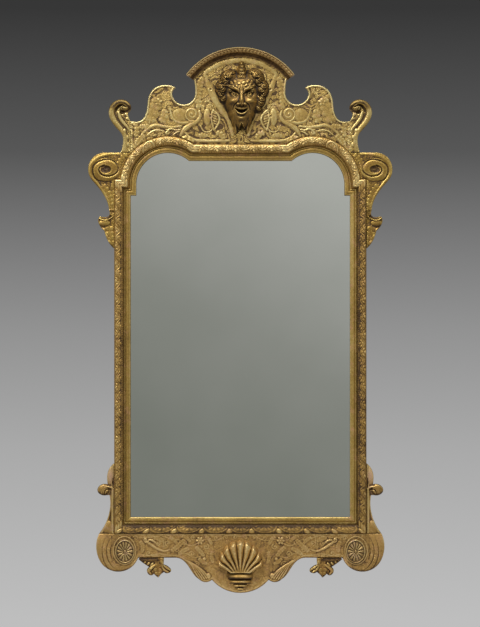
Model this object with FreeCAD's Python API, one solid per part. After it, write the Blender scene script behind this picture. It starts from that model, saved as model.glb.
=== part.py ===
import FreeCAD, Part
import math
import os

# A carved and gilded pier mirror. Sizes are in millimetres.
# X runs across the mirror and Z up. The wall is the plane Y = 0 and the front faces -Y.
# A depth is counted forward from the wall. "right" is the viewer's right.

# Sight opening, the part of the plate that shows
SIGHT_WIDTH = 549.0
SIGHT_HEIGHT = 912.0
ARCH_RADIUS = 79.0
ARCH_STUB = 28.0
NOTCH_WIDTH = 14.0
MIDDLE_DROP = 20.0

# Layers from the wall forward
BACKBOARD_THICKNESS = 8.0
CARCASS_THICKNESS = 16.0
BOARD_THICKNESS = 14.0

# Fits
REBATE = 8.0
PLATE_CLEARANCE = 1.0
GLUE_LINE = 0.2
PILOT_CLEARANCE = 0.1
PIVOT_CLEARANCE = 0.06

# Mouldings round the opening
SIGHT_MOULDING_WIDTH = 17.5
SIGHT_LIP = 6.0
SIGHT_BACK = 11.0
SIGHT_BEAD = 5.0
CARVED_MOULDING_WIDTH = 23.5
CARVED_EDGE = 9.0
CARVED_CROWN = 21.0

# Carcass
HEAD_RISE = 68.0
HEAD_SHOULDER_DROP = 4.0
BOTTOM_RAIL_WIDTH = 76.0

# Plate and what holds it
GLASS_THICKNESS = 4.0
SILVERING_THICKNESS = 0.4
BLOCK_LENGTH = 40.0
BLOCK_WIDTH = 8.0
BLOCK_BACK_GAP = 0.6

# Backboards and their nails
BACK_LAP = 7.0
BACKBOARD_GAP = 0.5
NAIL_INSET = 3.5
NAIL_LENGTH = 19.0
NAIL_RADIUS = 1.0
NAIL_HEAD_RADIUS = 2.2
NAIL_HEAD_DEPTH = 1.2

# Crest board, heights above the crown of the arches
CREST_END_LAND = 2.5
VALLEY_HEIGHT = 77.0
CUT_X = 141.5
CUT_HEIGHT = 149.0
CUT_RADIUS = 29.0
CREST_NECK_INSET = 2.8
HOOK_TIP = (20.0, 13.0)
HOOK_HEIGHT = 92.0
HOOK_WIDTH = 88.0
HOOK_BACK = ((-10.0, 0.0), (-27.0, 3.5), (-38.0, 19.0), (-42.0, 38.0), (-45.5, 62.0), (-58.0, 82.0))

# Cornice over the crest
CORNICE_HEIGHT = 261.5
CORNICE_RADIUS = 168.0
CORNICE_HALF_SPAN = 135.0
CORNICE_SLAB = 10.0
CORNICE_DROP = 12.0
CORNICE_PROJECTION = 22.0
CORNICE_LIP = 4.0

# End scrolls of the crest
SCROLL_THICKNESS = 16.0
SCROLL_FOOT = 24.0
SCROLL_BACK = ((18.5, 26.0), (20.0, 42.0), (33.0, 59.0), (47.0, 77.0), (54.5, 99.0), (49.5, 118.0))
SCROLL_CURL = ((33.0, 131.0), (13.0, 131.0), (-1.0, 117.0), (6.0, 99.0))
SCROLL_ROLL_RADIUS = 14.0
SCROLL_ROLL_AT = (14.0, 115.0)
SCROLL_ROLL_PROJECTION = 9.0

# Battens behind the crest
BATTEN_X = 75.0
BATTEN_WIDTH = 36.0
BATTEN_THICKNESS = 13.0
BATTEN_LENGTH = 112.0

# Ears at the shoulders, measured from the outer edge of the frame and the crown of the arches
EAR_LOBE_OUT = 23.0
EAR_LOBE_RADIUS = 42.0
EAR_LOBE_END = 45.0
EAR_NECK = 12.5
EAR_LENGTH = 146.0
EAR_VOLUTE_AT = (22.0, -42.0)
EAR_VOLUTE_RADIUS = 31.0
EAR_VOLUTE_HEIGHT = 5.0
EAR_EYE_RADIUS = 9.0
EAR_BLOCK_WIDTH = 26.0
EAR_BLOCK_LENGTH = 84.0
EAR_BLOCK_TOP = 20.0
EAR_BLOCK_THICKNESS = 14.0

# Leaf under each ear
LEAF_REACH = 40.0
LEAF_LENGTH = 94.0
LEAF_BACK_DEPTH = 12.0
LEAF_THICKNESS = 22.0

# Base brackets beside the stiles, with their knob measured down from the top
BRACKET_HEIGHT = 176.0
BRACKET_BULGE = 18.0
BRACKET_KNOB_AT = (26.0, 64.0)
BRACKET_KNOB_RADIUS = 16.0
BRACKET_NECK = 10.0
BRACKET_FOOT = 38.0
BRACKET_BACK_DEPTH = 10.0
BRACKET_THICKNESS = 20.0

# Apron board, measured down from the lower edge of the frame
APRON_LOBE_OUT = 45.0
APRON_LOBE_INSET = 12.0
APRON_LOBE_DROP = 95.0
APRON_LOBE_WIDTH = 96.0
APRON_EDGE_DROP = 60.0
APRON_ARCH_X = 162.0
DISC_RADIUS = 93.0
DISC_DROP = 148.0
DISC_NOTCH = 71.0
APRON_CUSP_DROP = 121.0

# Oval bosses on the apron lobes
BOSS_AT = (27.0, 44.0)
BOSS_HALF_WIDTH = 25.0
BOSS_HALF_HEIGHT = 30.5
BOSS_RIM = 6.5
BOSS_HEIGHT = 5.0

# Leaf sprays under the apron, set out by shares of the straight edge they fill
SPRAY_PLACE = 0.4064
SPRAY_DROP = 54.0
SPRAY_BACK_DEPTH = 22.0
SPRAY_THICKNESS = 12.0

# Shell on the apron
SHELL_HINGE_DROP = 104.0
SHELL_HEIGHT = 88.0
SHELL_SIDE = 58.0
SHELL_SPREAD = 72.0
SHELL_FLUTES = 9
SHELL_PROJECTION = 24.0
SHELL_BALL = 84.0
SHELL_BALL_UP = 38.0
SHELL_ROLLS = (31.0, 25.0, 16.0, 9.0)
SHELL_ROLL_RADIUS = 5.4

# Mask on the crest, set a little aside of the middle, as the carver left it. Its forms are across,
# above the crown of the arches, half width, half height, projection
MASK_ASIDE = 3.0
MASK_HEAD = (0.0, 150.0, 44.0, 60.0, 34.0)
MASK_BROW = (0.0, 163.0, 38.0, 13.0, 42.0)
MASK_NOSE = (0.0, 133.0, 10.0, 24.0, 49.0)
MASK_TUFT = (0.0, 207.0, 14.0, 22.0, 30.0)
MASK_CURL = (34.0, 197.0, 26.0, 24.0, 30.0)
MASK_EAR = (52.0, 152.0, 15.0, 11.0, 14.0)
MASK_CHEEK = (24.0, 121.0, 17.0, 22.0, 34.0)
MASK_BEARD = (14.0, 82.0, 14.0, 34.0, 26.0)

# Screws through the crest and apron boards into what they carry
SCREW_RADIUS = 2.0
SCREW_HEAD_RADIUS = 4.0
SCREW_HEAD_DEPTH = 2.0
ORNAMENT_SCREW_LENGTH = 24.0
BATTEN_SCREW_LENGTH = 22.0
MASK_SCREW_HEIGHTS = (130.0, 175.0)
SHELL_SCREW_DROP = 76.0

# Hangers on the backs of the stiles, below the shoulders of the opening
HANGER_DROP = 69.0
RING_WIRE = 3.6
RING_WIDTH = 18.0
RING_LEG = 6.0
STRAP_WIDTH = 11.0
STRAP_LENGTH = 48.0
STRAP_THICKNESS = 1.4
PIVOT_STAND_OFF = 3.6
STRAP_SCREW_DROPS = (26.0, 39.0)
STRAP_SCREW_RADIUS = 1.5
STRAP_SCREW_HEAD_RADIUS = 3.0
STRAP_SCREW_HEAD_HEIGHT = 1.6
STRAP_SCREW_LENGTH = 12.0

# Sizes that follow from those above
SIGHT_HALF = SIGHT_WIDTH / 2
CROWN = SIGHT_HEIGHT / 2
SILL = -SIGHT_HEIGHT / 2
ARCH_Z = CROWN - ARCH_RADIUS
ARCH_X = SIGHT_HALF - NOTCH_WIDTH - ARCH_RADIUS
NOTCH_X = SIGHT_HALF - NOTCH_WIDTH
NOTCH_Z = ARCH_Z - ARCH_STUB
MIDDLE_Z = CROWN - MIDDLE_DROP
FRAME_WIDTH = SIGHT_MOULDING_WIDTH + CARVED_MOULDING_WIDTH
FRAME_HALF = SIGHT_HALF + FRAME_WIDTH
FRAME_BOTTOM = SILL - FRAME_WIDTH
CARCASS_BACK = BACKBOARD_THICKNESS
CARCASS_FRONT = CARCASS_BACK + CARCASS_THICKNESS
LAP_DEPTH = CARCASS_BACK + CARCASS_THICKNESS / 2
BOARD_FRONT = CARCASS_FRONT + BOARD_THICKNESS
GLASS_BACK = CARCASS_FRONT - GLASS_THICKNESS
OUTER_RADIUS = ARCH_RADIUS + FRAME_WIDTH + GLUE_LINE
CREST_FOOT = ARCH_X + math.sqrt(OUTER_RADIUS ** 2 - ARCH_RADIUS ** 2)
CREST_END = CREST_FOOT + CREST_END_LAND
VALLEY_Z = CROWN + VALLEY_HEIGHT
APRON_EDGE_Z = FRAME_BOTTOM - APRON_EDGE_DROP
DISC_Z = FRAME_BOTTOM - DISC_DROP + DISC_RADIUS
BACK_HALF = SIGHT_HALF + REBATE + BACK_LAP
HANGER_X = (BACK_HALF + FRAME_HALF) / 2
RING_RADIUS = RING_WIRE / 2
PIVOT_DEPTH = CARCASS_BACK - PIVOT_STAND_OFF
PIVOT_Z = NOTCH_Z - HANGER_DROP
BEYOND = 400.0


class Outline:
    """A flat outline across the mirror, drawn from (x, z) point to point."""

    def __init__(self, x, z):
        self.first = (x, z)
        self.here = (x, z)
        self.edges = []

    def add(self, curve, end):
        self.edges.append(curve.toShape())
        self.here = end
        return self

    def line(self, x, z):
        return self.add(Part.LineSegment(flat(self.here), flat((x, z))), (x, z))

    def arc(self, via, end):
        return self.add(Part.Arc(flat(self.here), flat(via), flat(end)), end)

    def curve(self, *points):
        spline = Part.BSplineCurve()
        spline.interpolate([flat(p) for p in (self.here,) + points])
        return self.add(spline, points[-1])

    def board(self, back, front):
        """The outline closed and filled, from one depth to another."""
        if math.dist(self.here, self.first) > 1e-6:
            self.line(*self.first)
        face = Part.Face(Part.Wire(self.edges))
        face.translate(FreeCAD.Vector(0, -back, 0))
        return upright(face.extrude(FreeCAD.Vector(0, back - front, 0)))


def flat(point):
    return FreeCAD.Vector(point[0], 0, point[1])


def upright(solid):
    if solid.Volume < 0:
        solid.reverse()
    return solid


def polygon(*points):
    shape = Outline(*points[0])
    for point in points[1:]:
        shape.line(*point)
    return shape


def box(x0, x1, z0, z1, back, front):
    corner = FreeCAD.Vector(x0, -front, z0)
    return Part.makeBox(x1 - x0, front - back, z1 - z0, corner)


def pin(x, z, back, front, radius):
    """A round bar that runs straight forward."""
    return Part.makeCylinder(radius, front - back, FreeCAD.Vector(x, -back, z), FreeCAD.Vector(0, -1, 0))


def oval(x, z, half_width, half_height, back, front):
    """An upright oval bar that runs straight forward."""
    centre = FreeCAD.Vector(x, -back, z)
    top = centre + FreeCAD.Vector(0, 0, half_height)
    ellipse = Part.Ellipse(top, centre + FreeCAD.Vector(half_width, 0, 0), centre)
    face = Part.Face(Part.Wire([ellipse.toShape()]))
    return upright(face.extrude(FreeCAD.Vector(0, back - front, 0)))


def mirrored(shape):
    return shape.mirror(FreeCAD.Vector(0, 0, 0), FreeCAD.Vector(1, 0, 0))


def whole(half):
    """A piece drawn on the right of the centre line, joined with its mirror image."""
    return half.fuse(mirrored(half)).removeSplitter()


def joined(first, *others):
    return first.fuse(list(others)).removeSplitter()


def export(name, shape):
    """Writes one piece, after making sure that it is made of whole solids."""
    solids = shape.Solids
    if not shape.isValid() or not solids or min(s.Volume for s in solids) <= 0:
        raise RuntimeError(name + " is not a whole solid")
    piece = solids[0] if len(solids) == 1 else Part.makeCompound(solids)
    piece.exportStep("parts/" + name + ".step")


def export_pair(name, right):
    export(name + "_right", right)
    export(name + "_left", mirrored(right))


os.makedirs("parts", exist_ok=True)


# Path of the opening, moved outward by any offset


def cusp_x(offset):
    """Where an arch meets the straight middle of the head."""
    rise = MIDDLE_Z + offset - ARCH_Z
    return ARCH_X - math.sqrt((ARCH_RADIUS + offset) ** 2 - rise ** 2)


def opening(offset):
    """Right half of the opening's outline, grown by offset."""
    side = SIGHT_HALF + offset
    stub = NOTCH_X + offset
    half = Outline(0, SILL - offset)
    half.line(side, SILL - offset).line(side, NOTCH_Z + offset)
    half.line(stub, NOTCH_Z + offset).line(stub, ARCH_Z)
    half.arc((ARCH_X, CROWN + offset), (cusp_x(offset), MIDDLE_Z + offset))
    return half.line(0, MIDDLE_Z + offset)


# Fasteners and the holes drilled for them


def fastener(x, z, back, length, radius, head_radius, head_depth, clearance=0.0):
    """A nail or screw driven forward with its head flush, or its hole where there is a clearance."""
    head = pin(x, z, back, back + head_depth + clearance, head_radius + clearance)
    shank = pin(x, z, back, back + length + clearance, radius + clearance)
    return joined(head, shank)


def nail(at, clearance=0.0):
    x, z = at
    return fastener(x, z, 0.0, NAIL_LENGTH, NAIL_RADIUS, NAIL_HEAD_RADIUS, NAIL_HEAD_DEPTH, clearance)


def wood_screw(at, back, length, clearance=0.0):
    x, z = at
    return fastener(x, z, back, length, SCREW_RADIUS, SCREW_HEAD_RADIUS, SCREW_HEAD_DEPTH, clearance)


def drilled(shape, holes):
    return shape.cut(holes) if holes else shape


NAILS = []
for share in (0.15, 0.5, 0.85):
    for side in (-1, 1):
        NAILS.append((side * share * BACK_HALF, CROWN + REBATE + BACK_LAP - NAIL_INSET))
        NAILS.append((side * share * BACK_HALF, SILL - REBATE - BACK_LAP + NAIL_INSET))
for share in (-0.66, -0.22, 0.22, 0.5):
    for side in (-1, 1):
        NAILS.append((side * (BACK_HALF - NAIL_INSET), share * CROWN))
NAIL_HOLES = [nail(at, PILOT_CLEARANCE) for at in NAILS]

MASK_SCREWS = [(MASK_ASIDE, CROWN + height) for height in MASK_SCREW_HEIGHTS]
SHELL_SCREWS = [(0.0, FRAME_BOTTOM - SHELL_SCREW_DROP)]
ORNAMENT_SCREWS = MASK_SCREWS + SHELL_SCREWS
BATTEN_BASE = CROWN + HEAD_RISE
BATTEN_BACK = CARCASS_FRONT - BATTEN_THICKNESS
BATTEN_SCREWS = []
for side in (-1, 1):
    for share in (0.2, 0.8):
        BATTEN_SCREWS.append((side * BATTEN_X, BATTEN_BASE + share * BATTEN_LENGTH))


def ornament_holes(places):
    return [wood_screw(at, CARCASS_FRONT, ORNAMENT_SCREW_LENGTH, PILOT_CLEARANCE) for at in places]


BATTEN_HOLES = [wood_screw(at, BATTEN_BACK, BATTEN_SCREW_LENGTH, PILOT_CLEARANCE) for at in BATTEN_SCREWS]


def strap_screw(side, drop, clearance=0.0):
    """A round-headed screw through a hanger strap into the stile."""
    x = side * HANGER_X
    z = PIVOT_Z - drop
    seat = CARCASS_BACK - STRAP_THICKNESS
    head = pin(x, z, seat - STRAP_SCREW_HEAD_HEIGHT, seat, STRAP_SCREW_HEAD_RADIUS)
    end = seat + STRAP_SCREW_LENGTH + clearance
    shank = pin(x, z, seat - STRAP_SCREW_HEAD_HEIGHT / 2, end, STRAP_SCREW_RADIUS + clearance)
    return shank if clearance else joined(head, shank)


STRAP_HOLES = []
for side in (-1, 1):
    for drop in STRAP_SCREW_DROPS:
        STRAP_HOLES.append(strap_screw(side, drop, PILOT_CLEARANCE))


# Carcass: two stiles, a head rail cut to the arches and a bottom rail, halved at the corners

REBATE_X = SIGHT_HALF + REBATE
LAP_FOOT = NOTCH_Z + REBATE
SHOULDER_Z = CROWN - HEAD_SHOULDER_DROP
BOTTOM_RAIL_TOP = SILL - REBATE
BOTTOM_RAIL_FOOT = BOTTOM_RAIL_TOP - BOTTOM_RAIL_WIDTH
HEAD_HALF = CREST_END + SCROLL_FOOT * 0.7

stile = box(REBATE_X, FRAME_HALF, BOTTOM_RAIL_FOOT, SHOULDER_Z, CARCASS_BACK, CARCASS_FRONT)
top_lap = box(REBATE_X, BEYOND, LAP_FOOT, BEYOND * 2, LAP_DEPTH, BEYOND)
foot_lap = box(REBATE_X, BEYOND, -BEYOND * 2, BOTTOM_RAIL_TOP, LAP_DEPTH, BEYOND)
stile = stile.cut([top_lap, foot_lap])
stile = drilled(stile, NAIL_HOLES + STRAP_HOLES)
export_pair("stile", stile)

half_head = Outline(0, BATTEN_BASE).line(HEAD_HALF, BATTEN_BASE).line(HEAD_HALF, SHOULDER_Z)
half_head.line(FRAME_HALF, SHOULDER_Z).line(FRAME_HALF, LAP_FOOT).line(NOTCH_X + REBATE, LAP_FOOT)
half_head.line(NOTCH_X + REBATE, ARCH_Z)
half_head.arc((ARCH_X, CROWN + REBATE), (cusp_x(REBATE), MIDDLE_Z + REBATE)).line(0, MIDDLE_Z + REBATE)
half_head = half_head.board(CARCASS_BACK, CARCASS_FRONT)
half_head = half_head.cut(box(REBATE_X, BEYOND, LAP_FOOT - 1, SHOULDER_Z, 0, LAP_DEPTH))
export("head_rail", drilled(whole(half_head), NAIL_HOLES))

bottom_rail = box(-FRAME_HALF, FRAME_HALF, BOTTOM_RAIL_FOOT, BOTTOM_RAIL_TOP, CARCASS_BACK, CARCASS_FRONT)
for x0, x1 in ((-BEYOND, -REBATE_X), (REBATE_X, BEYOND)):
    bottom_rail = bottom_rail.cut(box(x0, x1, BOTTOM_RAIL_FOOT - 1, BOTTOM_RAIL_TOP + 1, 0, LAP_DEPTH))
export("bottom_rail", drilled(bottom_rail, NAIL_HOLES))


# Plate, its silvering and the blocks that hold it in the rebate

plate_offset = REBATE - PLATE_CLEARANCE
silver_back = GLASS_BACK - SILVERING_THICKNESS
export("mirror_plate", whole(opening(plate_offset).board(GLASS_BACK, CARCASS_FRONT)))
export("silvering", whole(opening(plate_offset).board(silver_back, GLASS_BACK)))

block_back = CARCASS_BACK + BLOCK_BACK_GAP
blocks = []
for side in (-1, 1):
    edge = side * REBATE_X
    inner = edge - side * BLOCK_WIDTH
    for share in (-0.7, 0.0, 0.62):
        z = share * CROWN - BLOCK_LENGTH / 2
        blocks.append(box(min(edge, inner), max(edge, inner), z, z + BLOCK_LENGTH, block_back, silver_back))
    x = side * SIGHT_HALF / 2 - BLOCK_LENGTH / 2
    foot = SILL - REBATE
    blocks.append(box(x, x + BLOCK_LENGTH, foot, foot + BLOCK_WIDTH, block_back, silver_back))
    x = side * cusp_x(0) / 2 - BLOCK_LENGTH / 2
    top = MIDDLE_Z + REBATE
    blocks.append(box(x, x + BLOCK_LENGTH, top - BLOCK_WIDTH, top, block_back, silver_back))
export("plate_blocks", Part.makeCompound(blocks))


# Backboards, nailed over the back of the carcass

back_top = CROWN + REBATE + BACK_LAP
back_foot = SILL - REBATE - BACK_LAP
third = BACK_HALF / 3
half_gap = BACKBOARD_GAP / 2
for name, x0, x1 in (
    ("backboard_left", -BACK_HALF, -third - half_gap),
    ("backboard_centre", -third + half_gap, third - half_gap),
    ("backboard_right", third + half_gap, BACK_HALF),
):
    export(name, drilled(box(x0, x1, back_foot, back_top, 0, CARCASS_BACK), NAIL_HOLES))
export("backboard_nails", Part.makeCompound([nail(at) for at in NAILS]))


# Mouldings round the opening: an outer carved half-round and an inner sight moulding
# Each is a run of one section, cut to its mitres by the plan of the length it fills.


def section(steps, base, out):
    """The section of a moulding, standing at base, with its width along out."""

    def place(point):
        return base + out * point[0] + FreeCAD.Vector(0, -point[1], 0)

    edges = []
    here = steps[0]
    for step in steps[1:]:
        if isinstance(step[0], tuple):
            via, end = step
            edges.append(Part.Arc(place(here), place(via), place(end)).toShape())
        else:
            end = step
            edges.append(Part.LineSegment(place(here), place(end)).toShape())
        here = end
    return Part.Face(Part.Wire(edges))


def carved_section():
    inner = SIGHT_MOULDING_WIDTH + GLUE_LINE
    edge = CARCASS_FRONT + CARVED_EDGE
    crown = ((inner + FRAME_WIDTH) / 2, CARCASS_FRONT + CARVED_CROWN)
    foot = (inner, CARCASS_FRONT)
    return [foot, (FRAME_WIDTH, CARCASS_FRONT), (FRAME_WIDTH, edge), (crown, (inner, edge)), foot]


def sight_section():
    lip = CARCASS_FRONT + SIGHT_LIP
    back = CARCASS_FRONT + SIGHT_BACK
    fillet = SIGHT_MOULDING_WIDTH - SIGHT_BEAD / 2
    hollow = ((fillet + SIGHT_BEAD) / 2, (lip + back) / 2 - SIGHT_BEAD / 4)
    bead = (SIGHT_BEAD / 2, lip + SIGHT_BEAD / 2)
    foot = (0.0, CARCASS_FRONT)
    return [
        foot,
        (SIGHT_MOULDING_WIDTH, CARCASS_FRONT),
        (SIGHT_MOULDING_WIDTH, back),
        (fillet, back),
        (hollow, (SIGHT_BEAD, lip)),
        (bead, (0.0, lip)),
        foot,
    ]


def corner(x, z, across, up, offset):
    return (x + across * offset, z + up * offset)


def run(steps, base, out, along, plan):
    solid = upright(section(steps, base, out).extrude(along))
    return solid.common(polygon(*plan).board(0, BEYOND))


def mouldings(name, steps):
    across = FreeCAD.Vector(1, 0, 0)
    up = FreeCAD.Vector(0, 0, 1)
    far = FRAME_WIDTH + 1.0
    # stiles
    base = FreeCAD.Vector(SIGHT_HALF, 0, SILL - far)
    plan = [corner(SIGHT_HALF, SILL, 1, -1, u) for u in (-1, far)]
    plan += [corner(SIGHT_HALF, NOTCH_Z, 1, 1, u) for u in (far, -1)]
    length = NOTCH_Z - SILL + 2 * far
    export_pair(name + "_stile", run(steps, base, across, up * length, plan))
    # bottom
    base = FreeCAD.Vector(-FRAME_HALF - 1, 0, SILL)
    plan = [corner(-SIGHT_HALF, SILL, -1, -1, u) for u in (-1, far)]
    plan += [corner(SIGHT_HALF, SILL, 1, -1, u) for u in (far, -1)]
    export(name + "_bottom", run(steps, base, up * -1, across * (2 * FRAME_HALF + 2), plan))
    # straight middle of the head
    base = FreeCAD.Vector(-ARCH_X, 0, MIDDLE_Z)
    cusp = [(cusp_x(0), MIDDLE_Z), (cusp_x(FRAME_WIDTH), MIDDLE_Z + FRAME_WIDTH)]
    slope = (cusp[1][0] - cusp[0][0]) / FRAME_WIDTH
    low = (cusp[0][0] - slope, MIDDLE_Z - 1)
    high = (cusp[0][0] + slope * far, MIDDLE_Z + far)
    plan = [(-low[0], low[1]), low, high, (-high[0], high[1])]
    export(name + "_middle", run(steps, base, up, across * (2 * ARCH_X), plan))
    # arch with its stub
    base = FreeCAD.Vector(NOTCH_X, 0, NOTCH_Z - 1)
    stub = upright(section(steps, base, across).extrude(up * (ARCH_Z - NOTCH_Z + 1)))
    centre = FreeCAD.Vector(ARCH_X, 0, ARCH_Z)
    ring = section(steps, centre + across * ARCH_RADIUS, across)
    ring = upright(ring.revolve(centre, FreeCAD.Vector(0, -1, 0), 150))
    plan = [corner(NOTCH_X, NOTCH_Z, 1, 1, u) for u in (-1, far + 20)]
    plan += [(FRAME_HALF, CROWN + far + 20), (cusp[0][0] + slope * (far + 20), MIDDLE_Z + far + 20), low]
    plan += [(ARCH_X, ARCH_Z)]
    arch = joined(stub, ring).common(polygon(*plan).board(0, BEYOND))
    export_pair(name + "_arch", arch)
    # short return between an arch and a stile
    base = FreeCAD.Vector(NOTCH_X - 1, 0, NOTCH_Z)
    plan = [corner(NOTCH_X, NOTCH_Z, 1, 1, u) for u in (-1, far)]
    plan += [corner(SIGHT_HALF, NOTCH_Z, 1, 1, u) for u in (far, -1)]
    export_pair(name + "_return", run(steps, base, up, across * (NOTCH_WIDTH + far + 2), plan))


mouldings("carved", carved_section())
mouldings("sight", sight_section())


# Crest board, glued over the head rail, with its fretted top


def arch_outside(x_from, z_from, x_to, z_to):
    """A point between two ends on the outer edge of an arch."""
    angle = math.atan2((z_from + z_to) / 2 - ARCH_Z, (x_from + x_to) / 2 - ARCH_X)
    return (ARCH_X + OUTER_RADIUS * math.cos(angle), ARCH_Z + OUTER_RADIUS * math.sin(angle))


edge = FRAME_WIDTH + GLUE_LINE
cornice_z = CROWN + CORNICE_HEIGHT - CORNICE_RADIUS
top_radius = CORNICE_RADIUS - CORNICE_SLAB
cornice_end = math.asin(CORNICE_HALF_SPAN / CORNICE_RADIUS)
neck_turn = cornice_end - CREST_NECK_INSET / CORNICE_RADIUS
cut_z = CROWN + CUT_HEIGHT


def under_cornice(radius, turn):
    """A point on a circle round the cornice's centre, turned from straight up."""
    return (radius * math.sin(turn), cornice_z + radius * math.cos(turn))


soffit = under_cornice(top_radius - CORNICE_DROP, neck_turn)

crest = Outline(0, MIDDLE_Z + edge).line(cusp_x(edge), MIDDLE_Z + edge)
crest.arc((ARCH_X, ARCH_Z + OUTER_RADIUS), (CREST_FOOT, CROWN))
crest.line(CREST_END, CROWN).line(CREST_END, VALLEY_Z + 2)
hook = [(CREST_END + x, VALLEY_Z + z) for x, z in HOOK_BACK]
tip = (CUT_X + HOOK_TIP[0], cut_z + HOOK_TIP[1])
crest.curve(*hook, (CREST_END - HOOK_WIDTH, VALLEY_Z + HOOK_HEIGHT), tip)
crest.curve((CUT_X + CUT_RADIUS * 0.92, cut_z + CUT_RADIUS * 0.22), (CUT_X + CUT_RADIUS, cut_z))
crest.arc((CUT_X, cut_z - CUT_RADIUS), (CUT_X - CUT_RADIUS, cut_z))
crest.curve(((soffit[0] + CUT_X - CUT_RADIUS) / 2 - 1, (cut_z + soffit[1]) / 2), soffit)
crest.line(*under_cornice(top_radius, neck_turn))
crest.arc(under_cornice(top_radius, neck_turn / 2), under_cornice(top_radius, 0))
crest_board = whole(crest.board(CARCASS_FRONT, BOARD_FRONT))
export("crest_board", drilled(crest_board, BATTEN_HOLES + ornament_holes(MASK_SCREWS)))


# Cornice, an arched moulding over the top edge of the crest board

front = BOARD_FRONT + CORNICE_PROJECTION
slab = top_radius - CORNICE_RADIUS
nose = -CORNICE_LIP
hollow = ((slab - CORNICE_DROP * 0.25), BOARD_FRONT + CORNICE_PROJECTION * 0.35)
cornice_steps = [
    (slab, CARCASS_FRONT),
    (0.0, CARCASS_FRONT),
    (0.0, front),
    (nose, front),
    (nose * 1.6, front - CORNICE_LIP),
    (hollow, (slab - CORNICE_DROP, BOARD_FRONT + 1.5)),
    (slab - CORNICE_DROP, BOARD_FRONT),
    (slab, BOARD_FRONT),
    (slab, CARCASS_FRONT),
]
swing = math.degrees(cornice_end)
apex = FreeCAD.Vector(0, 0, cornice_z)
crown_top = FreeCAD.Vector(0, 0, cornice_z + CORNICE_RADIUS)
cornice = section(cornice_steps, crown_top, FreeCAD.Vector(0, 0, 1))
cornice.rotate(apex, FreeCAD.Vector(0, 1, 0), -swing)
export("cornice", upright(cornice.revolve(apex, FreeCAD.Vector(0, 1, 0), 2 * swing)))


# End scrolls of the crest, standing on the ears


def from_end(point):
    return (CREST_END + point[0], CROWN + point[1])


scroll = Outline(CREST_END, CROWN).line(CREST_END + SCROLL_FOOT, CROWN)
scroll.curve(*[from_end(p) for p in SCROLL_BACK + SCROLL_CURL])
scroll.curve(from_end((5.0, 91.0)), from_end((0.0, VALLEY_HEIGHT + 3)))
scroll = scroll.board(CARCASS_FRONT, CARCASS_FRONT + SCROLL_THICKNESS)
roll_x, roll_z = from_end(SCROLL_ROLL_AT)
roll_front = CARCASS_FRONT + SCROLL_THICKNESS + SCROLL_ROLL_PROJECTION
roll = pin(roll_x, roll_z, CARCASS_FRONT, roll_front, SCROLL_ROLL_RADIUS)
export_pair("crest_scroll", joined(scroll, roll))


# Battens that carry the crest, standing on the head rail

for name, side in (("crest_batten_left", -1), ("crest_batten_right", 1)):
    x = side * BATTEN_X - BATTEN_WIDTH / 2
    batten = box(x, x + BATTEN_WIDTH, BATTEN_BASE, BATTEN_BASE + BATTEN_LENGTH, BATTEN_BACK, CARCASS_FRONT)
    export(name, drilled(batten, BATTEN_HOLES))
screws = [wood_screw(at, BATTEN_BACK, BATTEN_SCREW_LENGTH) for at in BATTEN_SCREWS]
export("batten_screws", Part.makeCompound(screws))


# Ears with their volutes, and the block behind each

ear_foot = CROWN - EAR_LENGTH
turn_z = NOTCH_Z + edge
turn_x = ARCH_X + math.sqrt(OUTER_RADIUS ** 2 - (turn_z - ARCH_Z) ** 2)
lobe_x = FRAME_HALF + EAR_LOBE_OUT
lobe_z = CROWN - EAR_LOBE_RADIUS
leave = math.radians(EAR_LOBE_END)
lobe_end = (lobe_x + EAR_LOBE_RADIUS * math.cos(leave), lobe_z - EAR_LOBE_RADIUS * math.sin(leave))
neck = FRAME_HALF + EAR_NECK

ear = Outline(CREST_FOOT, CROWN).line(lobe_x, CROWN)
ear.arc((lobe_x + EAR_LOBE_RADIUS, lobe_z), lobe_end)
drop = lobe_end[1] - ear_foot
reach = lobe_end[0] - neck
ear.curve(
    (neck + reach * 0.62, ear_foot + drop * 0.76),
    (neck + reach * 0.16, ear_foot + drop * 0.36),
    (neck, ear_foot),
)
ear.line(FRAME_HALF, ear_foot).line(FRAME_HALF, turn_z).line(turn_x, turn_z)
ear.arc(arch_outside(turn_x, turn_z, CREST_FOOT, CROWN), (CREST_FOOT, CROWN))
volute_x = FRAME_HALF + EAR_VOLUTE_AT[0]
volute_z = CROWN + EAR_VOLUTE_AT[1]
volute = pin(volute_x, volute_z, CARCASS_FRONT, BOARD_FRONT + EAR_VOLUTE_HEIGHT, EAR_VOLUTE_RADIUS)
eye = pin(volute_x, volute_z, CARCASS_FRONT, BOARD_FRONT + 2 * EAR_VOLUTE_HEIGHT, EAR_EYE_RADIUS)
ear_body = ear.board(CARCASS_FRONT, BOARD_FRONT)
export_pair("ear", joined(ear_body, volute, eye))

block_top = CROWN - EAR_BLOCK_TOP
ear_block = polygon(
    (FRAME_HALF, block_top),
    (FRAME_HALF + EAR_BLOCK_WIDTH, block_top),
    (FRAME_HALF + EAR_BLOCK_WIDTH * 0.4, block_top - EAR_BLOCK_LENGTH),
    (FRAME_HALF, block_top - EAR_BLOCK_LENGTH),
)
export_pair("ear_block", ear_block.board(CARCASS_FRONT - EAR_BLOCK_THICKNESS, CARCASS_FRONT))


# Leaf under each ear, on the side of the stile


def on_leaf(across, down):
    return (FRAME_HALF + across * LEAF_REACH, ear_foot - down * LEAF_LENGTH)


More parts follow.
